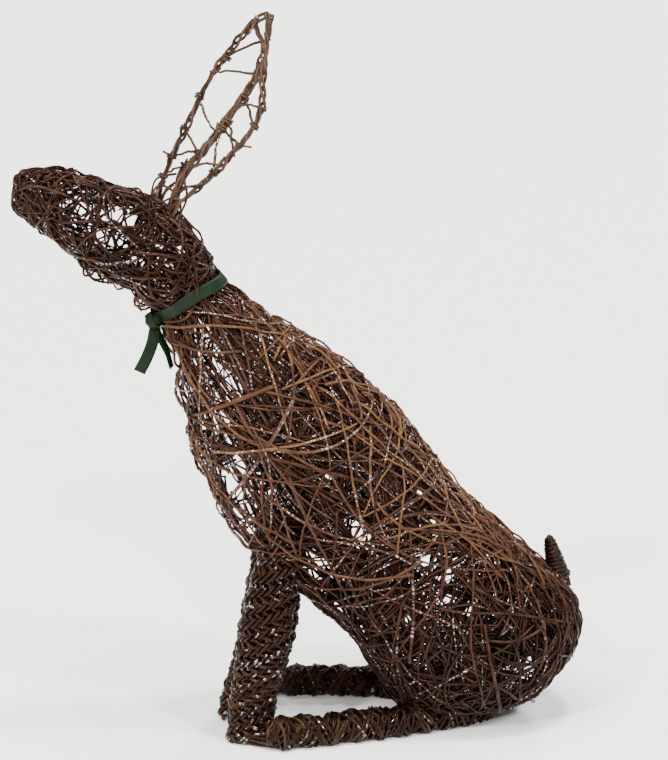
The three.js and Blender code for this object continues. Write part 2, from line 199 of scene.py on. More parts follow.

# Gaps right through the basket, read in the photo: the pixel's column and row, and the
# gap's width in millimetres. They all run towards the place from which the hare is looked at.
GAPS = [
    (82, 212, 7.3), (70, 206, 6.6), (117, 209, 5.9), (117, 216, 7.3), (130, 225, 5.2),
    (100, 234, 8.0), (112, 242, 7.3), (121, 244, 5.9), (134, 260, 5.2), (141, 260, 5.9),
    (178, 249, 5.6), (167, 345, 13.0), (176, 358, 12.0), (199.6, 455, 10.1), (208.6, 474.6, 10.1),
    (223, 476, 9.4), (232, 487, 10.1), (242, 499, 10.8), (242.5, 523, 12.2), (255, 532, 9.4),
    (242.5, 469, 8.6), (362, 539, 8.5), (355, 526, 11.5), (330, 478, 8.5), (421, 494, 8.5),
    (317.5, 562, 7.5), (326, 564, 7.5), (424.6, 562, 8.5), (449.6, 573, 9.5), (435, 523, 7.5),
    (297, 551, 8.5), (410, 620, 8.5), (470, 610, 8.5), (193, 440, 7.2), (262, 480, 5.4),
    (271, 492, 7.5), (303, 557, 7.5), (312, 574, 7.5), (216, 498, 8.6), (236, 512, 9.4),
    (205, 425, 5.4), (228, 420, 5.4), (321, 593, 6.0), (337, 605, 7.5), (344, 613, 8.0),
    (364, 632, 6.0),
]
MIDDLE_PIXEL = (334, 380)  # the photo's middle
PIXEL = 0.00105  # what a pixel shows at the camera's distance
GAP_PLANE = -0.0052  # across, from the outline's own origin


def unit(vectors):
    return vectors / np.maximum(np.linalg.norm(vectors, axis=-1, keepdims=True), 1e-12)


def dot(a, b):
    return (a * b).sum(-1, keepdims=True)


def place(shares):
    """Points given in shares, as points of the frame."""
    return np.asarray(shares, float) * SHARE + ORIGIN


def smooth_line(points, at):
    """A centripetal Catmull-Rom line. At counts from 0 at its first point, one for each point."""
    p = np.asarray(points, float)
    p = np.vstack([2 * p[0] - p[1], p, 2 * p[-1] - p[-2]])
    at = np.clip(np.asarray(at, float), 0, len(p) - 3 - 1e-9)
    k = at.astype(int)
    w = (at - k)[..., None]
    p0, p1, p2, p3 = p[k], p[k + 1], p[k + 2], p[k + 3]
    pairs = ((p0, p1), (p1, p2), (p2, p3))
    d0, d1, d2 = (np.sqrt(np.linalg.norm(b - a, axis=-1, keepdims=True)) for a, b in pairs)
    t1 = ((p1 - p0) / d0 - (p2 - p0) / (d0 + d1) + (p2 - p1) / d1) * d1
    t2 = ((p2 - p1) / d1 - (p3 - p1) / (d1 + d2) + (p3 - p2) / d2) * d1
    return p1 + t1 * w + (3 * (p2 - p1) - 2 * t1 - t2) * w ** 2 + (2 * (p1 - p2) + t1 + t2) * w ** 3


def even_line(points, count):
    """Count points evenly spaced along the smooth line through points."""
    fine = smooth_line(points, np.linspace(0, len(points) - 1, 40 * len(points)))
    run = np.concatenate([[0], np.cumsum(np.linalg.norm(np.diff(fine, axis=0), axis=1))])
    at = np.linspace(0, run[-1], count)
    return np.stack([np.interp(at, run, fine[:, k]) for k in range(3)], 1)


TABLE_AT = np.linspace(0, LAST_STATION, 1001)
TOP_LINE = smooth_line(STATIONS[:, [0, 4, 1]] * SHARE, TABLE_AT)
BOTTOM_LINE = smooth_line(STATIONS[:, [2, 4, 3]] * SHARE, TABLE_AT)


def fuller(value):
    return np.sign(value) * np.abs(value) ** FULLNESS


def section(station):
    """Middle, unit rise, half depth and half width of the sections at these stations."""
    top = np.stack([np.interp(station, TABLE_AT, TOP_LINE[:, k]) for k in range(3)], -1)
    bottom = np.stack([np.interp(station, TABLE_AT, BOTTOM_LINE[:, k]) for k in range(3)], -1)
    middle = (top + bottom) / 2
    rise = (top - bottom) / 2
    half_width = middle[..., 1:2].copy()
    middle[..., 1] = 0
    rise[..., 1] = 0
    half_depth = np.linalg.norm(rise, axis=-1, keepdims=True)
    return middle + ORIGIN, rise / half_depth, half_depth, half_width


def skin(station, turn):
    """Points of the body's surface. Turn is 0 along the back, a quarter on the left side."""
    middle, rise, half_depth, half_width = section(station)
    angle = (np.asarray(turn) * 2 * np.pi)[..., None]
    side = np.concatenate([0 * angle, -half_width * fuller(np.sin(angle)), 0 * angle], -1)
    return middle + rise * half_depth * fuller(np.cos(angle)) + side


def surface(station, turn):
    """Skin points with their slopes by station and by turn, and the outward normal."""
    ahead, aside = 0.03, 0.003
    point = skin(station, turn)
    by_station = (skin(station + ahead, turn) - skin(station - ahead, turn)) / (2 * ahead)
    by_turn = (skin(station, turn + aside) - skin(station, turn - aside)) / (2 * aside)
    normal = unit(np.cross(by_station, by_turn))
    outward = np.sign(dot(normal, point - section(station)[0]))
    return point, by_station, by_turn, normal * np.where(outward == 0, 1, outward)


def steps_for(direction, by_station, by_turn):
    """How far a direction in the surface goes in station and in turn."""
    a, b, c = dot(by_station, by_station), dot(by_station, by_turn), dot(by_turn, by_turn)
    u, v = dot(by_station, direction), dot(by_turn, direction)
    area = np.maximum(a * c - b * b, 1e-12)
    return ((c * u - b * v) / area)[..., 0], ((a * v - b * u) / area)[..., 0]


def walk(rng, station, turn, heading, length, step, wander, reach=BODY_REACH, around=None, pull=0.0):
    """Walks rods over the surface as a springy rod bends, nearly straight with a little wander.

    Heading is in radians from the body's axis. Around is an x and z that the rods are pulled to
    circle, by the share pull at each step. Returns the lines, the normals and each line's count.
    """
    station, turn = station.copy(), turn.copy()
    wanted = np.maximum(np.ceil(length / step).astype(int), 3)
    point, by_station, by_turn, normal = surface(station, turn)
    along = unit(by_station - dot(by_station, normal) * normal)
    across = np.cross(normal, along)
    heading = heading[:, None]
    direction = np.cos(heading) * along + np.sin(heading) * across
    curl = rng.normal(0, wander, len(station))
    lines, normals = [point], [normal]
    count = np.ones(len(station), int)
    going = np.ones(len(station), bool)
    for k in range(wanted.max()):
        du, dv = steps_for(direction * step, by_station, by_turn)
        station += np.clip(du, -0.6, 0.6)
        turn += np.clip(dv, -0.12, 0.12)
        going &= (station > reach[0]) & (station < reach[1]) & (k < wanted)
        station = np.clip(station, reach[0], reach[1])
        point, by_station, by_turn, normal = surface(station, turn)
        direction = unit(direction - dot(direction, normal) * normal)
        curl = 0.88 * curl + rng.normal(0, 0.5 * wander, len(station))
        swing = curl[:, None]
        direction = np.cos(swing) * direction + np.sin(swing) * np.cross(normal, direction)
        if around is not None:
            spoke = point - np.array([around[0], 0, around[1]])
            circle = unit(np.cross(ACROSS, spoke))
            circle *= np.where(dot(circle, direction) < 0, -1, 1)
            direction = unit((1 - pull) * direction + pull * circle)
        count += going
        lines.append(point)
        normals.append(normal)
    return np.stack(lines, 1), np.stack(normals, 1), count


def scatter(rng, count, stations, turns):
    """Places spread evenly over the area between two stations and two turns, on both sides."""
    found_station, found_turn = [], []
    while len(found_station) < count:
        station = rng.uniform(*stations, 4 * count)
        turn = rng.uniform(*turns, 4 * count) * rng.choice([-1, 1], 4 * count)
        _, by_station, by_turn, _ = surface(station, turn)
        area = np.linalg.norm(np.cross(by_station, by_turn), axis=1)
        kept = rng.uniform(0, area.max(), len(area)) < area
        found_station.extend(station[kept])
        found_turn.extend(turn[kept])
    return np.array(found_station[:count]), np.array(found_turn[:count])


def gap_ways():
    """The unit direction of each gap from the place they run to, and its radius."""
    column, row, width = np.array(GAPS).T
    right = np.array([math.cos(CAMERA_AZIMUTH), math.sin(CAMERA_AZIMUTH), 0.0])
    beside = (column - MIDDLE_PIXEL[0])[:, None] * right
    above = (MIDDLE_PIXEL[1] - row)[:, None] * np.cross(CAMERA_BACK, right)
    sight = (beside + above) * PIXEL / CAMERA_DISTANCE - CAMERA_BACK
    camera = CAMERA_TARGET - ORIGIN + CAMERA_BACK * CAMERA_DISTANCE
    place = camera + ((GAP_PLANE - camera[1]) / sight[:, 1])[:, None] * sight
    x, _, z = np.round(place * 1000).T / 1000
    middle = np.stack([x, 0 * x, z], 1) + ORIGIN
    return unit(middle - LOOKED_FROM), width / 1000 / 2


def clear_of_gaps(line, share=1.0):
    """Whether a line passes no gap nearer than that share of its radius."""
    ways, radius = GAP_WAYS
    fine = np.vstack([line, (line[1:] + line[:-1]) / 2])
    away = np.linalg.norm(np.cross(fine[:, None] - LOOKED_FROM, ways[None]), axis=2)
    return not (away < radius * share).any()


GAP_WAYS = gap_ways()


class Rod:
    """A willow rod: its line, its radius along the line, and its tone from dark to golden. Gloss is
    the chance that it is glossy, where that doesn't follow from its height."""

    def __init__(self, line, radius, tone, gloss=None):
        self.line = line
        self.radius = radius
        self.tone = tone
        self.gloss = gloss


def ribbon_plane():
    """The middle of the plane that the ribbon's band lies in, and its unit normal."""
    top, bottom = skin(np.array([RIBBON_TOP, RIBBON_BOTTOM]), np.array([0.0, 0.5]))
    return (top + bottom) / 2, unit(np.cross(top - bottom, ACROSS))


RIBBON_MIDDLE, RIBBON_NORMAL = ribbon_plane()


def taper(rng, count, diameter, thin_end=0.6):
    """The radius along a rod, thinner to one end, with slight swellings where buds were."""
    share = np.linspace(1, thin_end, count)
    if rng.random() < 0.5:
        share = share[::-1]
    return diameter / 2 * share * (1 + rng.normal(0, 0.05, count))


def lay(rng, walked, diameter, lift, tone, wave=0.0012, tuck=0.004, arch=0.0, gap_share=0.0, thin_end=0.6):
    """Rods along walked lines. Lift is how far they lie outside the surface, wave how far they
    pass over and under each other, tuck how far their ends go in and arch how far they bow out."""
    lines, normals, counts = walked
    step = np.linalg.norm(lines[:, 1] - lines[:, 0], axis=1).mean()
    rods = []
    for k, count in enumerate(counts):
        if count < 4:
            continue
        line, normal = lines[k, :count], normals[k, :count]
        run = np.arange(count) * step
        ends = np.exp(-run / TUCK_RUN) + np.exp(-run[::-1] / TUCK_RUN)
        beat = 2 * np.pi * run / rng.uniform(*WAVE_RUN) + rng.uniform(0, 6.28)
        height = rng.uniform(*lift) + wave * np.sin(beat) - tuck * ends
        height += rng.uniform(0, 1) * arch * np.sin(np.pi * np.linspace(0, 1, count))
        height -= PINCH * np.exp(-((line - RIBBON_MIDDLE) @ RIBBON_NORMAL / PINCH_RUN) ** 2)
        line = line + normal * height[:, None]
        ahead = unit(np.diff(line, axis=0))
        kinks = np.where((ahead[1:] * ahead[:-1]).sum(1) < SHARPEST_BEND)[0]
        count = kinks[0] + 2 if len(kinks) else count
        line = line[:count]
        if count < 4 or gap_share and not clear_of_gaps(line, gap_share):
            continue
        rods.append(Rod(line, taper(rng, count, rng.uniform(*diameter), thin_end), rng.uniform(*tone)))
    return rods


def patches(rng, count, stations, turns, headings, length, diameter, lift, tone, rods=(7, 13),
            gap_share=1.1, step=0.0085, reach=BODY_REACH):
    """Patches of fine rods that lie side by side."""
    station, turn = scatter(rng, count, stations, turns)
    size = rng.integers(*rods, count)
    heading = rng.choice(headings, count) + rng.normal(0, 0.2, count)
    _, by_station, by_turn, normal = surface(station, turn)
    along = unit(by_station)
    across = np.cross(normal, along)
    sideways = -np.sin(heading)[:, None] * along + np.cos(heading)[:, None] * across
    each_station, each_turn, each_heading, each_length = [], [], [], []
    pitch = 1.12 * diameter[1]
    for k in range(count):
        shift = (np.arange(size[k]) - size[k] / 2) * pitch
        du, dv = steps_for(sideways[k:k + 1] * shift[:, None], by_station[k:k + 1], by_turn[k:k + 1])
        each_station.append(station[k] + du)
        each_turn.append(turn[k] + dv)
        each_heading.append(heading[k] + rng.normal(0, 0.035, size[k]))
        each_length.append(rng.uniform(*length) * rng.uniform(0.8, 1.0, size[k]))
    each_station, each_turn, each_heading, each_length = map(
        np.concatenate, (each_station, each_turn, each_heading, each_length))
    kept = (each_station > reach[0]) & (each_station < reach[1])
    walked = walk(rng, each_station[kept], each_turn[kept], each_heading[kept], each_length[kept], step,
                  0.008, reach)
    return lay(rng, walked, diameter, lift, tone, wave=0.0004, tuck=0.003, gap_share=gap_share, thin_end=0.8)


def many(count):
    """That many rods or patches, at the density that is set."""
    return int(count * bpy.context.scene.hare_weave.density)


def strew(rng, count, stations, turns, heading, spread, length, diameter, lift, tone, wander=0.03, step=0.007,
          arch=0.0, wave=0.0012, tuck=0.004, gap_share=0.0, around=None, pull=0.0, reach=BODY_REACH):
    """Single rods strewn over a part of the surface."""
    station, turn = scatter(rng, count, stations, turns)
    headings = np.radians(rng.choice(np.atleast_1d(heading), count) + rng.normal(0, spread, count))
    headings = headings * np.sign(turn) + np.pi * rng.integers(0, 2, count)
    lengths = rng.uniform(*length, count)
    walked = walk(rng, station, turn, headings, lengths, step, wander, reach, around, pull)
    return lay(rng, walked, diameter, lift, tone, wave, tuck, arch, gap_share)


def hoop_over(rng, start, end, rise, diameter, tone, bow=0.0, count=16):
    """A rod that leaves the surface at one place, bows out and goes back in at another."""
    share = np.linspace(0, 1, count)
    station = start[0] + (end[0] - start[0]) * share
    turn = start[1] + (end[1] - start[1]) * share + bow * np.sin(np.pi * share)
    point, _, _, normal = surface(station, turn)
    height = rise * np.sin(np.pi * share) ** 0.8 - 0.003
    wobble = rng.normal(0, 0.0004, (count, 3))
    return Rod(point + normal * height[:, None] + wobble, taper(rng, count, diameter, 0.75), tone)


def closed_ends(rod):
    """The rod's line and radius with a point at each end, so that the tube closes."""
    line, radius = rod.line, rod.radius
    first = line[0] + unit(line[0] - line[1]) * radius[0] * 0.4
    last = line[-1] + unit(line[-1] - line[-2]) * radius[-1] * 0.4
    return np.vstack([first, line, last]), np.concatenate([[0], radius, [0]])


def make_piece(name, rods, material, slot, nodes, roundness=1):
    """One mesh of all these rods. Roundness 0 gives a rod four sides and 1 gives it six."""
    curve = bpy.data.curves.new(name, "CURVE")
    curve.dimensions = "3D"
    curve.bevel_depth = 1.0
    curve.bevel_resolution = roundness
    rng = np.random.default_rng(len(rods))
    tones, runs, shines, blooms_with_painted_shade = [], [], [], []
    for rod in rods:
        line, radius = closed_ends(rod)
        spline = curve.splines.new("POLY")
        spline.points.add(len(line) - 1)
        spline.points.foreach_set("co", np.column_stack([line, np.ones(len(line))]).ravel())
        spline.points.foreach_set("radius", radius)
        run = np.concatenate([[0], np.cumsum(np.linalg.norm(np.diff(line, axis=0), axis=1))])
        # Painted shade: the willow rods' tone darkens towards the ground and on the head, and their grey
        # bloom fades there more.
        lit = np.interp(line[:, 2], *PAINTED_SHADE_BY_HEIGHT) if slot == "willow" else 1.0
        tones.append(np.full(len(line), rod.tone) * lit)
        runs.append(run + rng.uniform(0, 50))
        chance = np.interp(line[:, 2].mean(), *GLOSSY_BY_HEIGHT) if rod.gloss is None else rod.gloss
        shines.append(np.full(len(line), float(rng.random() < chance)))
        bloom = rng.uniform(0.2, 0.9) * (rng.random() < DUSTY_SHARE)
        blooms_with_painted_shade.append(bloom * lit ** 2 * np.ones(len(line)))
    sides = 4 + 2 * roundness
    drawn = bpy.data.objects.new(name + "_lines", curve)
    bpy.context.collection.objects.link(drawn)
    found = drawn.evaluated_get(bpy.context.evaluated_depsgraph_get())
    mesh = bpy.data.meshes.new_from_object(found)
    mesh.name = name
    for label, values in (("tone", tones), ("run", runs), ("shine", shines), ("bloom", blooms_with_painted_shade)):
        values = np.repeat(np.concatenate(values), sides)
        if len(values) != len(mesh.vertices):
            raise RuntimeError(f"{name}: {len(mesh.vertices)} vertices for {len(values)} values")
        mesh.attributes.new(label, "FLOAT", "POINT").data.foreach_set("value", values)
    bpy.data.objects.remove(drawn)
    bpy.data.curves.remove(curve)
    shape = bmesh.new()
    shape.from_mesh(mesh)
    bmesh.ops.remove_doubles(shape, verts=shape.verts, dist=1e-6)
    shape.to_mesh(mesh)
    shape.free()
    mesh.materials.clear()
    mesh.materials.append(material)
    piece = bpy.data.objects.new(name, mesh)
    bpy.context.collection.objects.link(piece)
    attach(piece, "root")
    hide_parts(*nodes)
    return piece


def add_node(material, kind, at, **settings):
    node = material.node_tree.nodes.new(kind)
    node.location = at
    for key, value in settings.items():
        setattr(node, key, value)
    return node


def new_material(name):
    material = bpy.data.materials.new(name)
    material.use_nodes = True
    return material, material.node_tree.nodes["Principled BSDF"], material.node_tree.links


def attribute(material, at, name):
    return add_node(material, "ShaderNodeAttribute", at, attribute_name=name).outputs["Fac"]


def noise(material, at, source, scale, detail=2.0, along_rod=False):
    """Noise over the piece, or along each rod where its source is the rod's run."""
    node = add_node(material, "ShaderNodeTexNoise", at, noise_dimensions="1D" if along_rod else "3D")
    node.inputs["Scale"].default_value = scale
    node.inputs["Detail"].default_value = detail
    material.node_tree.links.new(source, node.inputs["W" if along_rod else "Vector"])
    return node.outputs["Fac"]


def stretch(material, at, value, low, high, lowest=0.0, highest=1.0):
    """The value with low to high stretched to lowest to highest, and cut off outside them."""
    node = add_node(material, "ShaderNodeMapRange", at)
    for label, number in (("From Min", low), ("From Max", high), ("To Min", lowest), ("To Max", highest)):
        node.inputs[label].default_value = number
    material.node_tree.links.new(value, node.inputs["Value"])
    return node.outputs["Result"]


def combine(material, at, operation, first, second):
    node = add_node(material, "ShaderNodeMath", at, operation=operation)
    material.node_tree.links.new(first, node.inputs[0])
    material.node_tree.links.new(second, node.inputs[1])
    return node.outputs["Value"]


def ramp(material, at, value, stops):
    """A colour ramp through stops, each a place on it and a colour."""
    node = add_node(material, "ShaderNodeValToRGB", at)
    elements = node.color_ramp.elements
    for element, (spot, colour) in zip((elements[0], elements[1]), (stops[0], stops[-1])):
        element.position = spot
        element.color = (*colour, 1)
    for spot, colour in stops[1:-1]:
        elements.new(spot).color = (*colour, 1)
    material.node_tree.links.new(value, node.inputs["Fac"])
    return node.outputs["Color"]


def roughen(material, at, height, strength, distance):
    """Bump of the whole surface."""
    node = add_node(material, "ShaderNodeBump", at)
    node.inputs["Strength"].default_value = strength
    node.inputs["Distance"].default_value = distance
    links = material.node_tree.links
    links.new(height, node.inputs["Height"])
    links.new(node.outputs["Normal"], material.node_tree.nodes["Principled BSDF"].inputs["Normal"])


def bark(name, dark, middle, golden, dusty, gloss, sheen, spots_per_metre):
    """Willow bark: tone from the rod, mottling along it, fine grain and clusters of glossy spots."""
    material = bpy.data.materials.get(name)
    if material:
        return material
    material, shader, links = new_material(name)
    run = attribute(material, (-1400, 0), "run")
    here = add_node(material, "ShaderNodeTexCoord", (-1400, -300)).outputs["Object"]
    grain = noise(material, (-1150, -300), here, GRAINS, 4.0)

    mottle = noise(material, (-1150, 50), run, MOTTLES, 3.0, along_rod=True)
    shift = stretch(material, (-950, 50), mottle, 0.0, 1.0, -MOTTLE_TONE, MOTTLE_TONE)
    # The tone and bloom attributes of the body's rods carry painted shade, darker towards the ground and on
    # the head.
    tone = combine(material, (-750, 200), "ADD", attribute(material, (-1400, 300), "tone"), shift)
    clean = ramp(material, (-560, 250), tone, [(0.05, dark), (0.5, middle), (0.95, golden)])
    dusted = add_node(material, "ShaderNodeMix", (-420, 400), data_type="RGBA")
    links.new(attribute(material, (-1400, 600), "bloom"), dusted.inputs["Factor"])
    links.new(clean, dusted.inputs["A"])
    dusted.inputs["B"].default_value = (*dusty, 1)
    colour = add_node(material, "ShaderNodeVectorMath", (-300, 200), operation="SCALE")
    links.new(dusted.outputs["Result"], colour.inputs[0])
    links.new(stretch(material, (-560, -100), grain, 0.3, 0.7, 0.55, 1.3), colour.inputs["Scale"])
    links.new(colour.outputs["Vector"], shader.inputs["Base Color"])

    rough = stretch(material, (-560, -350), grain, 0.35, 0.65, gloss, gloss + 0.4)
    links.new(rough, shader.inputs["Roughness"])
    roughen(material, (-300, -250), grain, 0.8, 0.0008)
    shader.inputs["Specular IOR Level"].default_value = sheen
    shader.inputs["Specular Tint"].default_value = (1.0, 0.70, 0.52, 1)

    spots = noise(material, (-1150, -600), run, spots_per_metre, 3.0, along_rod=True)
    clusters = noise(material, (-1150, -850), run, GLOSSY_CLUSTERS, 1.0, along_rod=True)
    varnish = combine(material, (-300, -700), "MULTIPLY", stretch(material, (-560, -600), spots, 0.50, 0.57),
                      stretch(material, (-560, -850), clusters, 0.45, 0.52))
    glossy = combine(material, (-120, -700), "MULTIPLY", varnish,
                     attribute(material, (-560, -1100), "shine"))
    links.new(glossy, shader.inputs["Coat Weight"])
    shader.inputs["Coat Roughness"].default_value = 0.14
    shader.inputs["Coat IOR"].default_value = 2.5
    return material


class HareWeave(bpy.types.PropertyGroup):
    """Sizes of the rods of the body."""

    fine_rod: bpy.props.FloatProperty(
        name="Fine rod", description="Diameter of the rods of the lining", default=0.0023, unit="LENGTH")
    common_rod: bpy.props.FloatProperty(
        name="Common rod", description="Diameter of most rods of the body", default=0.0031, unit="LENGTH")
    thick_rod: bpy.props.FloatProperty(
        name="Thick rod", description="Diameter of the ribs", default=0.0054, unit="LENGTH")
    density: bpy.props.FloatProperty(
        name="Density", description="How many rods, as a share of the usual number", default=1.0, min=0.05,
        max=2.0)


class HareLimbs(bpy.types.PropertyGroup):
    """Sizes of the ears, legs, feet and tail."""

    ear_strand: bpy.props.FloatProperty(
        name="Ear strand", description="Diameter of each of the rods along an ear's edge", default=0.0037,
        unit="LENGTH")
    ear_twist: bpy.props.FloatProperty(
        name="Ear twist", description="Length in which the two rods go once round each other", default=0.046,
        unit="LENGTH")
    row_pitch: bpy.props.FloatProperty(
        name="Row pitch", description="Height of one twined row of a foreleg", default=0.0070, unit="LENGTH")
    row_strand: bpy.props.FloatProperty(
        name="Row strand", description="Diameter of a rod of a twined row", default=0.0036, unit="LENGTH")
    stroke: bpy.props.FloatProperty(
        name="Stroke", description="Distance from one stake of a foreleg to the next", default=0.0085,
        unit="LENGTH")
    wind_strand: bpy.props.FloatProperty(
        name="Winding rod", description="Diameter of the rods wound round the hind feet", default=0.0035,
        unit="LENGTH")


class HareRibbon(bpy.types.PropertyGroup):
    """Sizes of the ribbon."""

    width: bpy.props.FloatProperty(
        name="Width", description="Width of the ribbon", default=0.013, unit="LENGTH")
    thickness: bpy.props.FloatProperty(
        name="Thickness", description="Thickness of the ribbon", default=0.0006, unit="LENGTH")
    clearance: bpy.props.FloatProperty(
        name="Clearance", description="How far the band lies outside the neck", default=-0.0012,
        unit="LENGTH")


class HareColours(bpy.types.PropertyGroup):
    """Colours of the bark and the ribbon."""

    dark: bpy.props.FloatVectorProperty(
        name="Dark bark", description="Purple-brown bark", subtype="COLOR", size=3,
        default=(0.0070, 0.0021, 0.0012))
    middle: bpy.props.FloatVectorProperty(
        name="Red bark", description="Red-brown bark", subtype="COLOR", size=3,
        default=(0.059, 0.0236, 0.0130))
    golden: bpy.props.FloatVectorProperty(
        name="Golden bark", description="Golden-brown bark", subtype="COLOR", size=3,
        default=(0.120, 0.064, 0.0245))
    dusty: bpy.props.FloatVectorProperty(
        name="Dusty bark", description="Grey-purple bark", subtype="COLOR", size=3,
        default=(0.059, 0.0296, 0.0230))
    ribbon: bpy.props.FloatVectorProperty(
        name="Ribbon", description="Green of the ribbon", subtype="COLOR", size=3,
        default=(0.0040, 0.0128, 0.0044))


def body_bark():
    c = bpy.context.scene.hare_colours
    return bark("willow_bark", c.dark, c.middle, c.golden, c.dusty, 0.12, 0.16, 260.0)


def limb_bark():
    c = bpy.context.scene.hare_colours
    dark, middle, dusty = [[share * v * tint for v, tint in zip(colour, LIMB_TINT)]
                           for share, colour in ((0.45, c.dark), (0.20, c.middle), (0.2, c.dusty))]
    golden = [0.29 * v for v in c.golden]
    return bark("dark_willow_bark", dark, middle, golden, dusty, 0.14, 0.20, 180.0)


def ear_bark():
    c = bpy.context.scene.hare_colours
    pale = (0.83 * c.golden[0], 0.97 * c.golden[1], 1.5 * c.golden[2])
    return bark("pale_willow_bark", c.dark, [0.45 * v for v in pale], pale, c.dusty, 0.2, 0.15, 260.0)


HAUNCH = place((205, 0, 165))[[0, 2]]  # the middle of the haunch, seen from the side


class HARE_OT_lining(bpy.types.Operator):
    """Lays the lining of fine rods, in patches side by side"""

    bl_idname = "hare.lining"
    bl_label = "Lining"

    def execute(self, context):
        weave = context.scene.hare_weave
        rng = np.random.default_rng(11)
        fine = (0.88 * weave.fine_rod, 1.1 * weave.fine_rod)
        along, askew = np.radians([0, 8, -8]), np.radians([-70, -40, 35, 65, 90, 0])
        rods = patches(rng, many(84), stations=(6.0, 13.5), turns=(0, 0.5), headings=along,
                       length=(0.07, 0.15), diameter=fine, lift=(-0.011, -0.006), tone=(0.0, 0.4))
        rods += patches(rng, many(118), stations=(9, 19.4), turns=(0, 0.5), headings=askew,
                        length=(0.05, 0.11), diameter=fine, lift=(-0.010, -0.005), tone=(0.0, 0.45),
                        step=0.0095)
        make_piece("body_lining", rods, body_bark(), "willow", ["woven_body"], 0)
        # The inner lining takes only the darkest tones: painted shade inside the basket.
        inner = (1.2 * weave.fine_rod, 1.4 * weave.fine_rod)
        rods = patches(rng, many(40), stations=(6.0, 13.5), turns=(0, 0.5), headings=along,
                       length=(0.08, 0.15), diameter=inner, lift=(-0.017, -0.013), tone=(0.0, 0.15),
                       step=0.011)
        rods += patches(rng, many(64), stations=(9, 19.4), turns=(0, 0.5), headings=askew,
                        length=(0.06, 0.12), diameter=inner, lift=(-0.017, -0.012), tone=(0.0, 0.15),
                        step=0.011)
        make_piece("inner_lining", rods, body_bark(), "willow", ["woven_body"], 0)
        return {"FINISHED"}


class HARE_OT_weave(bpy.types.Operator):
    """Weaves the middle layers of the body"""

    bl_idname = "hare.weave"
    bl_label = "Woven wall"

    def execute(self, context):
        weave = context.scene.hare_weave
        rng = np.random.default_rng(23)
        common = (0.85 * weave.common_rod, 1.12 * weave.common_rod)
        rods = strew(rng, many(250), stations=(6.0, 13), turns=(0, 0.5), heading=0, spread=13,
                     length=(0.10, 0.22), diameter=common, lift=(-0.0065, -0.002), tone=(0.0, 0.5),
                     wander=0.02, gap_share=0.8)
        rods += strew(rng, many(240), stations=(9, 17), turns=(0, 0.5), heading=[-60, -30, 20, 45, 75],
                      spread=18, length=(0.08, 0.20), diameter=common, lift=(-0.006, -0.001),
                      tone=(0.0, 0.6), gap_share=0.8)
        rods += strew(rng, many(230), stations=(13.5, 19.6), turns=(0, 0.5), heading=[0, 90], spread=40,
                      length=(0.10, 0.22), diameter=common, lift=(-0.006, -0.0005), tone=(0.0, 0.5),
                      gap_share=0.6, around=HAUNCH, pull=0.12)
        rods += strew(rng, many(80), stations=(14.5, 19.6), turns=(0.3, 0.5), heading=[0, 60, 90],
                      spread=30, length=(0.08, 0.18), diameter=common, lift=(-0.006, -0.002),
                      tone=(0.0, 0.3))
        make_piece("body_weave", rods, body_bark(), "willow", ["woven_body"], 1)
        return {"FINISHED"}


class HARE_OT_outer(bpy.types.Operator):
    """Lays the sweeping outer rods and the thick ribs"""

    bl_idname = "hare.outer"
    bl_label = "Outer rods"

    def execute(self, context):
        weave = context.scene.hare_weave
        rng = np.random.default_rng(37)
        common = (0.85 * weave.common_rod, 1.15 * weave.common_rod)
        thick = (0.8 * weave.thick_rod, 1.1 * weave.thick_rod)
        rods = strew(rng, many(26), stations=(6.8, 15), turns=(0, 0.47), heading=[-58, -35, 50, 75],
                     spread=14, length=(0.12, 0.27), diameter=common, lift=(-0.001, 0.0015),
                     tone=(0.6, 0.9), wander=0.035)
        rods += strew(rng, many(84), stations=(7.0, 14.5), turns=(0, 0.17), heading=[-50, -20, 30, 60],
                      spread=16, length=(0.10, 0.20), diameter=common, lift=(-0.001, 0.0015),
                      tone=(0.5, 1.05), wander=0.035, gap_share=0.3)
        rods += strew(rng, many(40), stations=(8.3, 12.2), turns=(0.34, 0.5), heading=[-75, -45, 50, 80],
                      spread=12, length=(0.05, 0.12),
                      diameter=(0.7 * weave.common_rod, 0.9 * weave.common_rod), lift=(-0.002, 0.001),
                      tone=(0.1, 0.9), wander=0.04, gap_share=0.35)
        rods += strew(rng, many(120), stations=(7.2, 18), turns=(0, 0.5), heading=[-75, -50, 35, 60, 90],
                      spread=20, length=(0.10, 0.26), diameter=common, lift=(-0.002, 0.001),
                      tone=(0.1, 0.7), wander=0.03, gap_share=0.45)
        rods += strew(rng, many(90), stations=(13.5, 19.6), turns=(0, 0.5), heading=[0, 90], spread=35,
                      length=(0.12, 0.26), diameter=common, lift=(-0.002, 0.001), tone=(0.05, 0.75),
                      wander=0.03, gap_share=0.4, around=HAUNCH, pull=0.1)
        make_piece("body_outer", rods, body_bark(), "willow", ["woven_body"], 1)
        ribs = strew(rng, many(40), stations=(8.5, 17.5), turns=(0.05, 0.45), heading=[-35, -10, 25, 60],
                     spread=16, length=(0.12, 0.26), diameter=thick, lift=(-0.0015, 0.001),
                     tone=(0.15, 0.55), wander=0.012, gap_share=0.7)
        make_piece("body_ribs", ribs, body_bark(), "willow", ["woven_body"], 2)
        return {"FINISHED"}


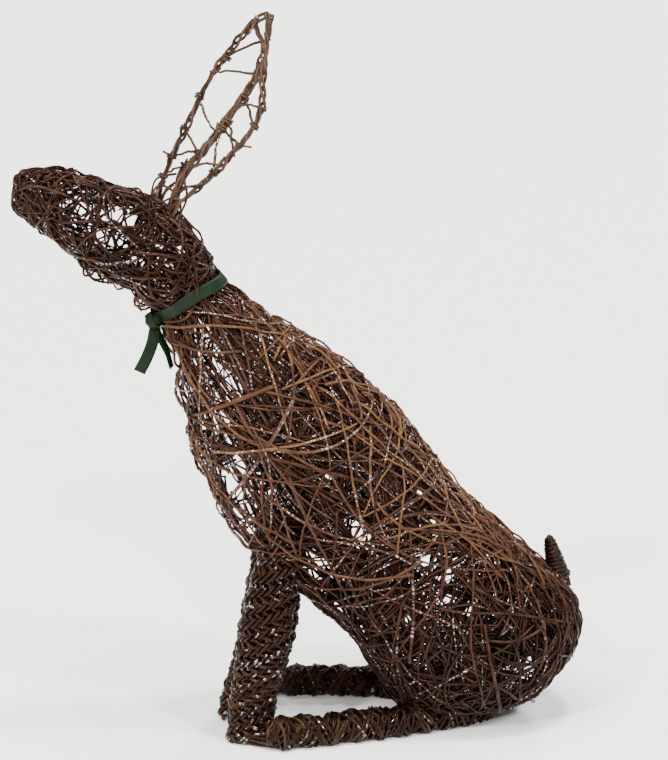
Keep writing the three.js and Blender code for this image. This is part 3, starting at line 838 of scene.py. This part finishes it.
class HARE_OT_outline(bpy.types.Operator):
    """Lays the loose rods that stand proud along the back, chest and belly"""

    bl_idname = "hare.outline"
    bl_label = "Outline rods"

    @staticmethod
    def loop(rng, stations, turns, rises, diameter):
        start, turn = rng.uniform(*stations), rng.uniform(*turns)
        end = start + rng.uniform(0.3, 1.1)
        return hoop_over(rng, (start, turn), (end, turn + rng.normal(0, 0.03)), rng.uniform(*rises),
                         rng.uniform(*diameter), rng.uniform(0.2, 1.0))

    def execute(self, context):
        weave = context.scene.hare_weave
        rng = np.random.default_rng(41)
        common = (0.8 * weave.common_rod, 1.1 * weave.common_rod)
        rods = strew(rng, many(50), stations=(7, 16.5), turns=(0, 0.09), heading=0, spread=9,
                     length=(0.07, 0.17), diameter=common, lift=(-0.004, 0.0), tone=(0.6, 1.1),
                     wander=0.035, arch=0.006)
        rods += strew(rng, many(90), stations=(7.6, 13), turns=(0.42, 0.5), heading=0, spread=9,
                      length=(0.09, 0.20), diameter=common, lift=(-0.007, -0.001), tone=(0.1, 0.8),
                      wander=0.035, arch=0.006, gap_share=0.6)
        rods += strew(rng, many(50), stations=(11.6, 16.5), turns=(0.43, 0.5), heading=0, spread=5,
                      length=(0.10, 0.22), diameter=common, lift=(-0.003, 0.001), tone=(0.0, 0.5),
                      wander=0.02, arch=0.003, gap_share=0.4)
        rods += strew(rng, many(30), stations=(16, 19.6), turns=(0, 0.12), heading=0, spread=10,
                      length=(0.08, 0.18), diameter=common, lift=(-0.006, -0.001), tone=(0.1, 0.8),
                      wander=0.02, arch=0.002)
        rods += strew(rng, many(22), stations=(11.0, 14.0), turns=(0.33, 0.43), heading=[-60, -30, 20, 50],
                      spread=10, length=(0.08, 0.17), diameter=common, lift=(0.002, 0.007), tone=(0.2, 1.0),
                      wander=0.03, arch=0.002)
        for _ in range(many(56)):
            rods.append(self.loop(rng, (7.2, 15.0), (-0.07, 0.07), (0.003, 0.010), common))
        for _ in range(many(44)):
            rods.append(self.loop(rng, (7.8, 12.2), (0.42, 0.58), (0.002, 0.009), common))
        make_piece("body_outline", rods, body_bark(), "willow", ["woven_body"], 1)
        return {"FINISHED"}


# Loops of rod on the head: station and turn where each leaves and comes back, and its height.
HEAD_LOOPS = [
    ((3.4, 0.46), (4.5, 0.48), 0.013), ((3.6, 0.52), (4.3, 0.47), 0.012), ((3.2, 0.48), (4.0, 0.50), 0.009),
    ((3.9, 0.50), (4.6, 0.47), 0.010), ((4.4, 0.48), (4.9, 0.50), 0.011), ((3.5, 0.49), (3.9, 0.45), 0.014),
    ((2.5, 0.48), (3.4, 0.50), 0.005), ((1.2, 0.46), (2.2, 0.50), 0.005), ((0.7, 0.5), (1.6, 0.47), 0.004),
    ((3.1, 0.02), (3.9, 0.12), 0.011), ((2.6, 0.03), (2.8, 0.01), 0.008), ((2.1, -0.03), (3.0, 0.03), 0.004),
    ((0.9, 0.02), (1.9, 0.05), 0.003), ((2.6, 0.06), (3.4, 0.01), 0.003), ((5.2, 0.49), (5.9, 0.47), 0.008),
    ((5.4, 0.52), (5.9, 0.47), 0.011), ((5.3, 0.46), (6.0, 0.50), 0.007), ((5.6, 0.48), (6.1, 0.50), 0.010),
]


class HARE_OT_head(bpy.types.Operator):
    """Weaves the head: a dense nose, an open cage of rods and the loops under the jaw"""

    bl_idname = "hare.head"
    bl_label = "Head"

    def execute(self, context):
        weave = context.scene.hare_weave
        rng = np.random.default_rng(53)
        fine = (0.85 * weave.fine_rod, 1.1 * weave.fine_rod)
        common = (0.8 * weave.common_rod, 1.15 * weave.common_rod)
        anyway = [-80, -50, -25, 0, 25, 50, 80]
        rods = patches(rng, many(44), stations=(0.5, 6.8), turns=(0, 0.5),
                       headings=np.radians([0, 40, -40, 80]), length=(0.03, 0.06), diameter=fine,
                       lift=(-0.009, -0.005), tone=(0.0, 0.5), rods=(5, 9), gap_share=1.3, step=0.006,
                       reach=HEAD_REACH)
        rods += strew(rng, many(150), stations=(0.1, 2.4), turns=(0, 0.5), heading=anyway, spread=20,
                      length=(0.03, 0.08), diameter=common, lift=(-0.005, 0.0015), tone=(0.0, 0.6),
                      wander=0.09, step=0.0045, reach=HEAD_REACH)
        rods += strew(rng, many(230), stations=(2.2, 7), turns=(0, 0.5), heading=anyway, spread=20,
                      length=(0.05, 0.12), diameter=common, lift=(-0.006, -0.001), tone=(0.0, 0.65),
                      wander=0.06, step=0.005, gap_share=0.9, reach=HEAD_REACH)
        rods += strew(rng, many(170), stations=(4.9, 7.2), turns=(0, 0.5), heading=anyway, spread=20,
                      length=(0.05, 0.12), diameter=common, lift=(-0.008, -0.002), tone=(0.0, 0.5),
                      wander=0.05, step=0.005, gap_share=0.9, reach=HEAD_REACH)
        rods += strew(rng, many(80), stations=(0.3, 6.5), turns=(0, 0.5), heading=anyway, spread=20,
                      length=(0.05, 0.14), diameter=common, lift=(-0.001, 0.0030), tone=(0.2, 0.8),
                      wander=0.09, step=0.005, gap_share=0.4, reach=HEAD_REACH)
        rods += strew(rng, many(44), stations=(1, 6.5), turns=(0, 0.09), heading=0, spread=10,
                      length=(0.04, 0.10), diameter=common, lift=(-0.004, 0.0), tone=(0.4, 0.9),
                      wander=0.06, step=0.005, arch=0.004, reach=HEAD_REACH)
        rods += strew(rng, many(56), stations=(1, 6.3), turns=(0.4, 0.5), heading=0, spread=12,
                      length=(0.04, 0.10), diameter=common, lift=(-0.005, 0.0), tone=(0.2, 0.7),
                      wander=0.07, step=0.005, arch=0.005, reach=HEAD_REACH)
        for start, end, rise in HEAD_LOOPS:
            rods.append(hoop_over(rng, start, end, rise, rng.uniform(*common), rng.uniform(0.1, 0.6)))
        make_piece("head_cage", rods, body_bark(), "willow", ["woven_body"], 1)
        return {"FINISHED"}


def frames_along(line):
    """Unit sideways and upward vectors along a line."""
    heading = unit(np.gradient(line, axis=0))
    sideways = unit(np.cross(heading, ACROSS + 0.02 * UP))
    return sideways, np.cross(sideways, heading)


def twisted(rng, line, diameter, pitch, tones, strands=2, start=0.0):
    """Rods twisted round each other along a line."""
    run = np.concatenate([[0], np.cumsum(np.linalg.norm(np.diff(line, axis=0), axis=1))])
    sideways, upward = frames_along(line)
    loose = 1.15 + 0.45 * np.sin(run / 0.015 + start) + 0.3 * np.sin(run / 0.0057 + 2 * start)
    rods = []
    for k in range(strands):
        angle = (2 * np.pi * run / pitch + start + 2 * np.pi * k / strands)[:, None]
        off = diameter / 2 * loose[:, None]
        rods.append(Rod(line + off * (np.cos(angle) * sideways + np.sin(angle) * upward),
                        taper(rng, len(line), diameter, 0.75), rng.uniform(*tones)))
    return rods


def lashing(rng, centre, heading, radius, diameter, turns, tone):
    """A thin rod wound a few times round a joint."""
    a = unit(np.cross(heading, rng.normal(size=3)))
    b = np.cross(heading, a)
    count = int(10 * turns)
    angle = np.linspace(0, 2 * np.pi * turns, count)[:, None]
    along = (np.linspace(-0.5, 0.5, count) * turns * diameter * 1.05)[:, None]
    loop = radius * (1 + rng.normal(0, 0.05, (count, 1)))
    return Rod(centre + loop * (np.cos(angle) * a + np.sin(angle) * b) + along * heading,
               np.full(count, diameter / 2), tone)


class HARE_OT_ears(bpy.types.Operator):
    """Bends the open ears from twisted rods, with cross rods, lashings and twig stubs"""

    bl_idname = "hare.ears"
    bl_label = "Ears"

    def execute(self, context):
        limbs = context.scene.hare_limbs
        rng = np.random.default_rng(61)
        for name, ear in EARS.items():
            edges = []
            rods = []
            for edge in ("front", "rear"):
                route = place(ear[edge] + [ear["tip"]])
                root = route[0] + unit(route[0] - route[1]) * EAR_ROOT
                line = even_line(np.vstack([root, route]), EAR_STEPS + 1)
                wobble = np.cumsum(rng.normal(0, 0.00035, line.shape), axis=0)
                rods += twisted(rng, line + wobble - wobble.mean(0), limbs.ear_strand, limbs.ear_twist,
                                (0.1, 0.9), 3, rng.uniform(0, 6))
                edges.append(line)
            for shares in ear["cross"]:
                rods += self.cross_rod(rng, edges, shares, 0.95 * limbs.ear_strand)
            front, tip = edges[0], place(ear["tip"])
            if name == "ear_right":
                past = even_line(np.vstack([front[-5], tip, place(EAR_PAST_TIP)]), 9)
                rods += twisted(rng, past, limbs.ear_strand, limbs.ear_twist, (0.2, 0.8))
            rods.append(lashing(rng, tip, unit(front[-1] - front[-3]), 0.0034, 0.0020, 2.6, 0.6))
            rods += [self.root_rod(rng, ear, edges) for _ in range(EAR_ROOT_RODS)]
            make_piece(name + "_rods", rods, ear_bark(), "pale_willow", [name], 1)
        return {"FINISHED"}

    @staticmethod
    def cross_rod(rng, edges, shares, diameter):
        """A rod from edge to edge, with a lashing and a twig stub at some of its ends."""
        at = [int(share * EAR_STEPS) for share in shares]
        start, end = edges[0][at[0]], edges[1][at[1]]
        count = 12
        part = np.linspace(-0.12, 1.12, count)[:, None]
        bow = rng.normal(0, 0.0015, 3) * np.sin(np.pi * np.clip(part, 0, 1))
        line = start + (end - start) * part + bow + rng.normal(0, 0.0004, (count, 3))
        rods = [Rod(line, taper(rng, count, diameter, 0.7), rng.uniform(0.2, 0.8))]
        for edge, k in zip(edges, at):
            heading = unit(edge[min(k + 1, EAR_STEPS)] - edge[k - 1])
            if rng.random() < 0.6:
                rods.append(lashing(rng, edge[k], heading, 0.0045, 0.0026, rng.uniform(1.0, 2.0),
                                    rng.uniform(0.1, 0.7)))
            if rng.random() < 0.6:
                away = unit(heading + rng.normal(0, 0.9, 3))
                stub = edge[k] + away * rng.uniform(0.006, 0.013) * np.linspace(0, 1, 5)[:, None]
                rods.append(Rod(stub, taper(rng, 5, 0.0028, 0.8), rng.uniform(0.4, 1.0)))
        return rods

    @staticmethod
    def root_rod(rng, ear, edges):
        """A thin rod from the head up into the foot of the ear."""
        low = place(ear["front" if rng.random() < 0.5 else "rear"][0]) + rng.normal(0, 0.004, 3)
        edge = edges[0] if rng.random() < 0.5 else edges[1]
        high = edge[rng.integers(8, 15)] + rng.normal(0, 0.002, 3)
        middle = (low + high) / 2 + rng.normal(0, 0.004, 3)
        line = even_line(np.vstack([low - 0.012 * UP, middle, high]), 14)
        return Rod(line, taper(rng, 14, 0.003, 0.7), rng.uniform(0.3, 0.9))


def leg_ring(leg, along, angle, swell):
    """Points round a foreleg, where along runs from 0 at the top to 1 below the ground."""
    middle, levels = leg
    route = [(x, half, z) for z, x, half in levels]
    level = smooth_line(route, np.asarray(along) * (len(levels) - 1)) * SHARE
    half_width = LEG_HALF_WIDTH * (1 - LEG_TAPER * along) + swell
    slope = LEAN_START + LEG_LEAN * along
    forwards = (level[..., 1] + swell) * np.cos(angle)
    point = np.stack([level[..., 0] + forwards, middle * SHARE + half_width * np.sin(angle),
                      level[..., 2] + forwards * slope], -1)
    return point + ORIGIN


class HARE_OT_forelegs(bpy.types.Operator):
    """Twines the forelegs in rows of two rods round stakes"""

    bl_idname = "hare.forelegs"
    bl_label = "Forelegs"

    def execute(self, context):
        limbs = context.scene.hare_limbs
        rng = np.random.default_rng(71)
        for name, leg in FORELEGS.items():
            levels = leg[1]
            rows = int((levels[0][0] - levels[-1][0]) * SHARE / limbs.row_pitch)
            rods = []
            for row in range(rows + 1):
                rods += self.twined_row(rng, leg, row, rows, limbs)
            for stake in range(STAKES):
                along = np.linspace(0, 1, 34)
                angle = np.full(34, 2 * np.pi * stake / STAKES)
                line = leg_ring(leg, along, angle, -0.0065 - 0.006 * (stake % 3))
                for first, last in runs_above(line, 0.003):
                    radius = np.full(last - first, STAKE_RADIUS)
                    rods.append(Rod(line[first:last], radius, rng.uniform(0.0, 0.3)))
            make_piece(name + "_rods", rods, limb_bark(), "dark_willow", [name], 1)
        return {"FINISHED"}

    @staticmethod
    def twined_row(rng, leg, row, rows, limbs):
        """Two rods that go round the leg and over each other. Rows slant one way and the other by turns."""
        half = limbs.row_strand / 2
        girth = 2 * np.pi * (LEG_HALF_WIDTH + LEG_HALF_DEPTH) / 2
        strokes = 2 * (int(girth / limbs.stroke) // 2)
        count = strokes * STROKE_POINTS
        share = np.linspace(0, 1, count + 1)
        angle = 2 * np.pi * share + rng.uniform(0, 6.28)
        hand = 1 if row % 2 else -1
        bulge = 0.0013 * math.sin(row * 2 * np.pi * limbs.row_pitch / BULGE_RUN)
        rods = []
        for strand in range(2):
            phase = (strokes / 2 * share + strand / 2) % 1
            over = phase < OVER_SHARE
            part = np.where(over, phase / OVER_SHARE, (phase - OVER_SHARE) / (1 - OVER_SHARE))
            shift = np.where(over, 2 * part - 1, 1 - 2 * part) * hand
            out = np.where(over, 1.0, -1.9) * np.sin(np.pi * part)
            swell = -0.0020 + bulge + half * out + rng.normal(0, 0.0003, count + 1)
            along = np.clip((row + 0.62 * shift + rng.normal(0, 0.05)) / rows, 0, 1)
            line = leg_ring(leg, along, angle, swell)
            radius = half * (1 + 0.15 * np.sin(np.pi * part)) * rng.uniform(0.85, 1.12)
            tone = rng.uniform(0.1, 0.7) if hand > 0 else rng.uniform(0.0, 0.5)
            for first, last in runs_above(line, half + 0.0002):
                rods.append(Rod(line[first:last], radius[first:last], tone, 0.1 if hand > 0 else 0.5))
        return rods


def runs_above(line, height):
    """First and last index of each stretch of a line that lies above a height."""
    above = np.concatenate([[0], (line[:, 2] > height).astype(int), [0]])
    starts, ends = np.where(np.diff(above) == 1)[0], np.where(np.diff(above) == -1)[0]
    return [(a, b) for a, b in zip(starts, ends) if b - a > 3]


class HARE_OT_hind_feet(bpy.types.Operator):
    """Winds the hind feet closely with crossing rods"""

    bl_idname = "hare.hind_feet"
    bl_label = "Hind feet"

    def execute(self, context):
        limbs = context.scene.hare_limbs
        rng = np.random.default_rng(83)
        for name, route in HIND_FEET.items():
            line = even_line(place([(x, y, 0) for x, y in route]), 120)
            line[:, 2] = FOOT_RADIUS - SOLE_CUT
            long = np.linalg.norm(np.diff(line, axis=0), axis=1).sum()
            rods = [self.core_rod(rng, line, k) for k in range(CORE_RODS)]
            half = limbs.wind_strand / 2
            knots = rng.uniform(0, 6.28)
            for layer in range(WIND_LAYERS):
                for _ in range(WINDINGS):
                    rods.append(self.wound(rng, line, long, half, layer, knots, rng.uniform(-0.03, 0.97)))
                for _ in range(TOE_WINDINGS):
                    rods.append(self.wound(rng, line, long, half, layer, knots, rng.uniform(-0.06, 0.02)))
            if name == "hind_foot_left":
                rods += [self.stray(rng) for _ in range(STRAYS)]
            make_piece(name + "_rods", rods, limb_bark(), "dark_willow", [name], 1)
        return {"FINISHED"}

    @staticmethod
    def stray(rng):
        """A loose rod between the near paw and the near foot."""
        start = place((-148, -52, 8)) + rng.uniform(-1, 1, 3) * (0.008, 0.004, 0.003)
        end = place((-82, -80, 14)) + rng.uniform(-1, 1, 3) * (0.010, 0.010, 0.010)
        middle = (start + end) / 2 + (0, -0.006, rng.uniform(-0.002, 0.004))
        line = even_line(np.vstack([start, middle, end]), 12)
        line[:, 2] = np.maximum(line[:, 2], 0.002)
        return Rod(line, taper(rng, 12, 0.003, 0.7), rng.uniform(0.2, 0.9))

    @staticmethod
    def core_rod(rng, line, k):
        angle = 2 * np.pi * k / CORE_RODS
        off = (math.cos(angle) * ACROSS + math.sin(angle) * UP) * (0.0085 if k % 2 else 0.004)
        picked = line[3:-3:4]
        return Rod(picked + off, np.full(len(picked), CORE_RADIUS), rng.uniform(0, 0.3))

    @staticmethod
    def wound(rng, line, long, half, layer, knots, first):
        """A rod wound one to two times round the foot, from the share first of its length on."""
        turns = rng.uniform(0.9, 2.2)
        pitch = rng.uniform(0.022, 0.075) * (1 if rng.random() < 0.5 else -1)
        span = abs(pitch) * turns / long
        count = int(turns * 18)
        share = np.linspace(0, 1, count)
        at = np.clip(first + span * share + 0.006 * np.sin(share * rng.uniform(6, 20)), 0.006, 0.994)
        index = at * (len(line) - 1)
        centre = np.stack([np.interp(index, np.arange(len(line)), line[:, k]) for k in range(3)], 1)
        heading = unit(line[-1] - line[0])
        across = np.array([-heading[1], heading[0], 0.0])
        angle = np.sign(pitch) * 2 * np.pi * turns * share + rng.uniform(0, 6.28)
        rounding = np.minimum(1, np.minimum(0.62 + at * 6, 0.7 + (1 - at) * 5))
        bumps = 0.0017 * np.sin(at * long * 2 * np.pi / 0.026 + knots)
        radius = (FOOT_RADIUS - half - 0.0016 + 0.0011 * layer + bumps) * rounding
        radius *= 1 + rng.normal(0, 0.02, count)
        spokes = np.cos(angle)[:, None] * across + np.sin(angle)[:, None] * UP
        found = centre + radius[:, None] * spokes
        found[:, 2] = np.maximum(found[:, 2], half + 0.0003)
        return Rod(found, taper(rng, count, 2 * half * rng.uniform(0.75, 1.1), 0.8), rng.random() ** 3)


class HARE_OT_tail(bpy.types.Operator):
    """Winds the tail, a small cone on the rump"""

    bl_idname = "hare.tail"
    bl_label = "Tail"

    def execute(self, context):
        rng = np.random.default_rng(97)
        foot, tip = place((TAIL_FOOT[0], 0, TAIL_FOOT[1])), place((TAIL_TIP[0], 0, TAIL_TIP[1]))
        out = np.cross(ACROSS, unit(tip - foot))
        rods = []
        for layer in range(TAIL_LAYERS):
            count = TAIL_TURNS * 14
            share = np.linspace(0, 1, count)
            angle = 2 * np.pi * TAIL_TURNS * share * (1 if layer % 2 else -1) + layer
            radius = TAIL_RADIUS * (1 - 0.8 * share) ** 0.7 - 0.0006 * layer + rng.normal(0, 0.0004, count)
            centre = foot + np.outer(share, tip - foot)
            line = centre + radius[:, None] * (np.cos(angle)[:, None] * ACROSS + np.sin(angle)[:, None] * out)
            rods.append(Rod(line, taper(rng, count, 0.0029, 0.8), rng.uniform(0.0, 0.3)))
        for k in range(TAIL_CORE_RODS):
            angle = 2 * np.pi * k / TAIL_CORE_RODS
            share = np.linspace(-0.25, 1, 9)
            radius = 0.72 * TAIL_RADIUS * (1 - 0.9 * np.clip(share, 0, 1))
            spoke = math.cos(angle) * ACROSS + math.sin(angle) * out
            line = foot + np.outer(share, tip - foot) + radius[:, None] * spoke
            rods.append(Rod(line, np.full(9, 0.0022), rng.uniform(0, 0.3)))
        make_piece("tail_rods", rods, limb_bark(), "dark_willow", ["tail"], 1)
        return {"FINISHED"}


def ribbon_material():
    """Woven green cloth: weft across it, and slightly uneven colour."""
    green = bpy.context.scene.hare_colours.ribbon
    material, shader, links = new_material("green_ribbon")
    uv = add_node(material, "ShaderNodeUVMap", (-1200, 0), uv_map="ribbon")
    weft = add_node(material, "ShaderNodeTexWave", (-950, 0), wave_type="BANDS", bands_direction="X")
    weft.inputs["Scale"].default_value = 260.0
    weft.inputs["Distortion"].default_value = 0.6
    links.new(uv.outputs["UV"], weft.inputs["Vector"])
    here = add_node(material, "ShaderNodeTexCoord", (-1200, -300)).outputs["Object"]
    cloud = noise(material, (-950, -300), here, 60.0)
    shades = [(0.3, [0.6 * v for v in green]), (0.75, [1.35 * v for v in green])]
    links.new(ramp(material, (-650, -200), cloud, shades), shader.inputs["Base Color"])
    roughen(material, (-400, -350), weft.outputs["Fac"], 0.25, 0.0002)
    shader.inputs["Roughness"].default_value = 0.55
    shader.inputs["Specular IOR Level"].default_value = 0.12
    return material


class HARE_OT_ribbon(bpy.types.Operator):
    """Ties the ribbon: a band round the neck, a knot and two hanging ends"""

    bl_idname = "hare.ribbon"
    bl_label = "Ribbon"

    def execute(self, context):
        self.sizes = context.scene.hare_ribbon
        self.shape = bmesh.new()
        self.uv = self.shape.loops.layers.uv.new("ribbon")
        self.length = 0.0
        knot = self.knot_centre()
        self.band()
        for facing, end in RIBBON_ENDS:
            self.hanging_end(knot, end, facing)
        self.knot(knot)
        mesh = bpy.data.meshes.new("tied_ribbon")
        self.shape.to_mesh(mesh)
        self.shape.free()
        mesh.materials.append(ribbon_material())
        for face in mesh.polygons:
            face.use_smooth = True
        piece = bpy.data.objects.new("tied_ribbon", mesh)
        context.collection.objects.link(piece)
        wall = piece.modifiers.new("thickness", "SOLIDIFY")
        wall.thickness = self.sizes.thickness
        wall.offset = 0
        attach(piece, "root")
        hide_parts("neck_ribbon")
        return {"FINISHED"}

    def knot_centre(self):
        point, _, _, normal = surface(np.array([RIBBON_BOTTOM]), np.array([KNOT_TURN]))
        return (point + normal * (self.sizes.clearance + KNOT_OUT))[0]

    def strip(self, centre, across, start=0.0):
        """A strip of cloth along a line, with its own direction across at each place."""
        count, over = len(centre), 5
        made = bmesh.ops.create_grid(self.shape, x_segments=count - 1, y_segments=over - 1, size=1.0)
        run = np.concatenate([[0], np.cumsum(np.linalg.norm(np.diff(centre, axis=0), axis=1))])
        places = {}
        for vert in made["verts"]:
            i = round((vert.co.x + 1) / 2 * (count - 1))
            j = round((vert.co.y + 1) / 2 * (over - 1))
            v = j / (over - 1) - 0.5
            places[vert] = (run[i] + start, v)
            vert.co = Vector(centre[i] + across[i] * v * self.sizes.width)
        for face in {f for v in made["verts"] for f in v.link_faces}:
            for loop in face.loops:
                loop[self.uv].uv = places[loop.vert]
        self.length += float(run[-1])

    def band(self):
        turn = np.linspace(KNOT_TURN, KNOT_TURN + 1, 97)
        round_it = (1 - np.cos(2 * np.pi * turn)) / 2
        station = RIBBON_TOP + (RIBBON_BOTTOM - RIBBON_TOP) * round_it
        point, by_station, _, normal = surface(station, turn)
        lift = self.sizes.clearance + 0.0006 * np.sin(turn * 40)
        along = unit(by_station - dot(by_station, normal) * normal)
        self.strip(point + normal * lift[:, None], along)

    def hanging_end(self, knot, end, facing):
        route = np.vstack([knot, knot + np.array(end) * RIBBON_DROP])
        line = even_line(route, 22)
        heading = unit(np.gradient(line, axis=0))
        share = np.linspace(0, 1, len(line))[:, None]
        across = unit(np.cross(heading, unit(np.array(facing) + 0.4 * share * RIBBON_TURN)))
        narrow = 0.45 + 0.55 * np.clip(share * 4, 0, 1)
        self.strip(line, across * narrow)

    def knot(self, centre):
        """Three turns of the ribbon round each other."""
        rng = np.random.default_rng(7)
        count = 26
        angle = np.linspace(0, 2 * np.pi * 0.94, count)
        for k, axis in enumerate(unit(np.array(KNOT_AXES))):
            a = unit(np.cross(axis, [0.1, 1.0, 0.2]))
            b = np.cross(axis, a)
            radius = 0.0062 + 0.0012 * k + 0.0009 * np.sin(3 * angle + k)
            line = centre + radius[:, None] * (np.cos(angle)[:, None] * a + np.sin(angle)[:, None] * b)
            line += axis * (0.0015 * (k - 1)) + rng.normal(0, 0.0002, (count, 3))
            self.strip(line, np.repeat(axis[None], count, 0) * 0.75)


# Suns: name, where each shines from, how wide it is in degrees, its strength and its colour.
LIGHTS = [
    ("wide_light", (-0.5, -0.4, 2.4), 40, 4.0, (1.0, 0.98, 0.95)),
    ("left_light", (-1.4, -1.3, 1.7), 6, 2.4, (1.0, 0.97, 0.93)),
    ("right_light", (1.0, -1.5, 1.8), 6, 2.2, (1.0, 0.97, 0.93)),
    ("front_light", (-0.2, -1.6, 1.0), 6, 1.6, (1.0, 0.98, 0.96)),
    ("top_light", (0.2, -0.3, 2.4), 6, 2.4, (1.0, 0.98, 0.95)),
    ("back_light", (1.2, 1.4, 1.8), 8, 2.0, (1.0, 1.0, 1.0)),
]


class HARE_OT_stage(bpy.types.Operator):
    """Sets the plain floor, the soft light and the camera"""

    bl_idname = "hare.stage"
    bl_label = "Stage"

    def execute(self, context):
        self.floor(context)
        for light in LIGHTS:
            self.sky_light(context, *light)
        world = bpy.data.worlds.new("studio")
        world.use_nodes = True
        world.node_tree.nodes["Background"].inputs["Color"].default_value = (1.0, 0.995, 0.985, 1)
        world.node_tree.nodes["Background"].inputs["Strength"].default_value = 0.3
        context.scene.world = world
        self.camera(context)
        return {"FINISHED"}

    @staticmethod
    def floor(context):
        shape = bmesh.new()
        bmesh.ops.create_grid(shape, x_segments=4, y_segments=4, size=40)
        mesh = bpy.data.meshes.new("floor")
        shape.to_mesh(mesh)
        shape.free()
        material, shader, _ = new_material("pale_floor")
        shader.inputs["Base Color"].default_value = (0.93, 0.93, 0.93, 1)
        shader.inputs["Roughness"].default_value = 0.7
        shader.inputs["Specular IOR Level"].default_value = 0.2
        mesh.materials.append(material)
        floor = bpy.data.objects.new("floor", mesh)
        context.collection.objects.link(floor)

    @staticmethod
    def sky_light(context, name, at, spread, strength, colour):
        lamp = bpy.data.lights.new(name, "SUN")
        lamp.angle = math.radians(spread)
        lamp.energy = strength
        lamp.color = colour
        lit = bpy.data.objects.new(name, lamp)
        lit.rotation_euler = Vector([-v for v in at]).to_track_quat("-Z", "Y").to_euler()
        context.collection.objects.link(lit)

    @staticmethod
    def camera(context):
        lens = bpy.data.cameras.new("camera")
        lens.sensor_fit = "VERTICAL"
        lens.sensor_height = SENSOR
        lens.lens = CAMERA_LENS
        lens.clip_end = 100
        camera = bpy.data.objects.new("camera", lens)
        camera.location = Vector(CAMERA_TARGET + CAMERA_BACK * CAMERA_DISTANCE)
        camera.rotation_euler = Vector(-CAMERA_BACK).to_track_quat("-Z", "Y").to_euler()
        context.collection.objects.link(camera)
        context.scene.camera = camera


PIECES = (HARE_OT_lining, HARE_OT_weave, HARE_OT_outer, HARE_OT_outline, HARE_OT_head, HARE_OT_ears,
          HARE_OT_forelegs, HARE_OT_hind_feet, HARE_OT_tail, HARE_OT_ribbon, HARE_OT_stage)
GROUPS = {"hare_weave": HareWeave, "hare_limbs": HareLimbs, "hare_ribbon": HareRibbon,
          "hare_colours": HareColours}


class HARE_PT_panel(bpy.types.Panel):
    """Lists the hare's sizes, colours and pieces"""

    bl_idname = "HARE_PT_panel"
    bl_label = "Woven hare"
    bl_space_type = "VIEW_3D"
    bl_region_type = "UI"
    bl_category = "Hare"

    def draw(self, context):
        for key, group in GROUPS.items():
            for name in group.__annotations__:
                self.layout.prop(getattr(context.scene, key), name)
        for piece in PIECES:
            self.layout.operator(piece.bl_idname)


def register():
    for group in GROUPS.values():
        bpy.utils.register_class(group)
    for key, group in GROUPS.items():
        setattr(bpy.types.Scene, key, bpy.props.PointerProperty(type=group))
    for piece in PIECES:
        bpy.utils.register_class(piece)
    bpy.utils.register_class(HARE_PT_panel)


def unregister():
    bpy.utils.unregister_class(HARE_PT_panel)
    for piece in reversed(PIECES):
        bpy.utils.unregister_class(piece)
    for key in GROUPS:
        delattr(bpy.types.Scene, key)
    for group in reversed(list(GROUPS.values())):
        bpy.utils.unregister_class(group)


def main():
    register()
    bpy.ops.hare.lining()
    bpy.ops.hare.weave()
    bpy.ops.hare.outer()
    bpy.ops.hare.outline()
    bpy.ops.hare.head()
    bpy.ops.hare.ears()
    bpy.ops.hare.forelegs()
    bpy.ops.hare.hind_feet()
    bpy.ops.hare.tail()
    bpy.ops.hare.ribbon()
    bpy.ops.hare.stage()


if __name__ == "__main__":
    main()
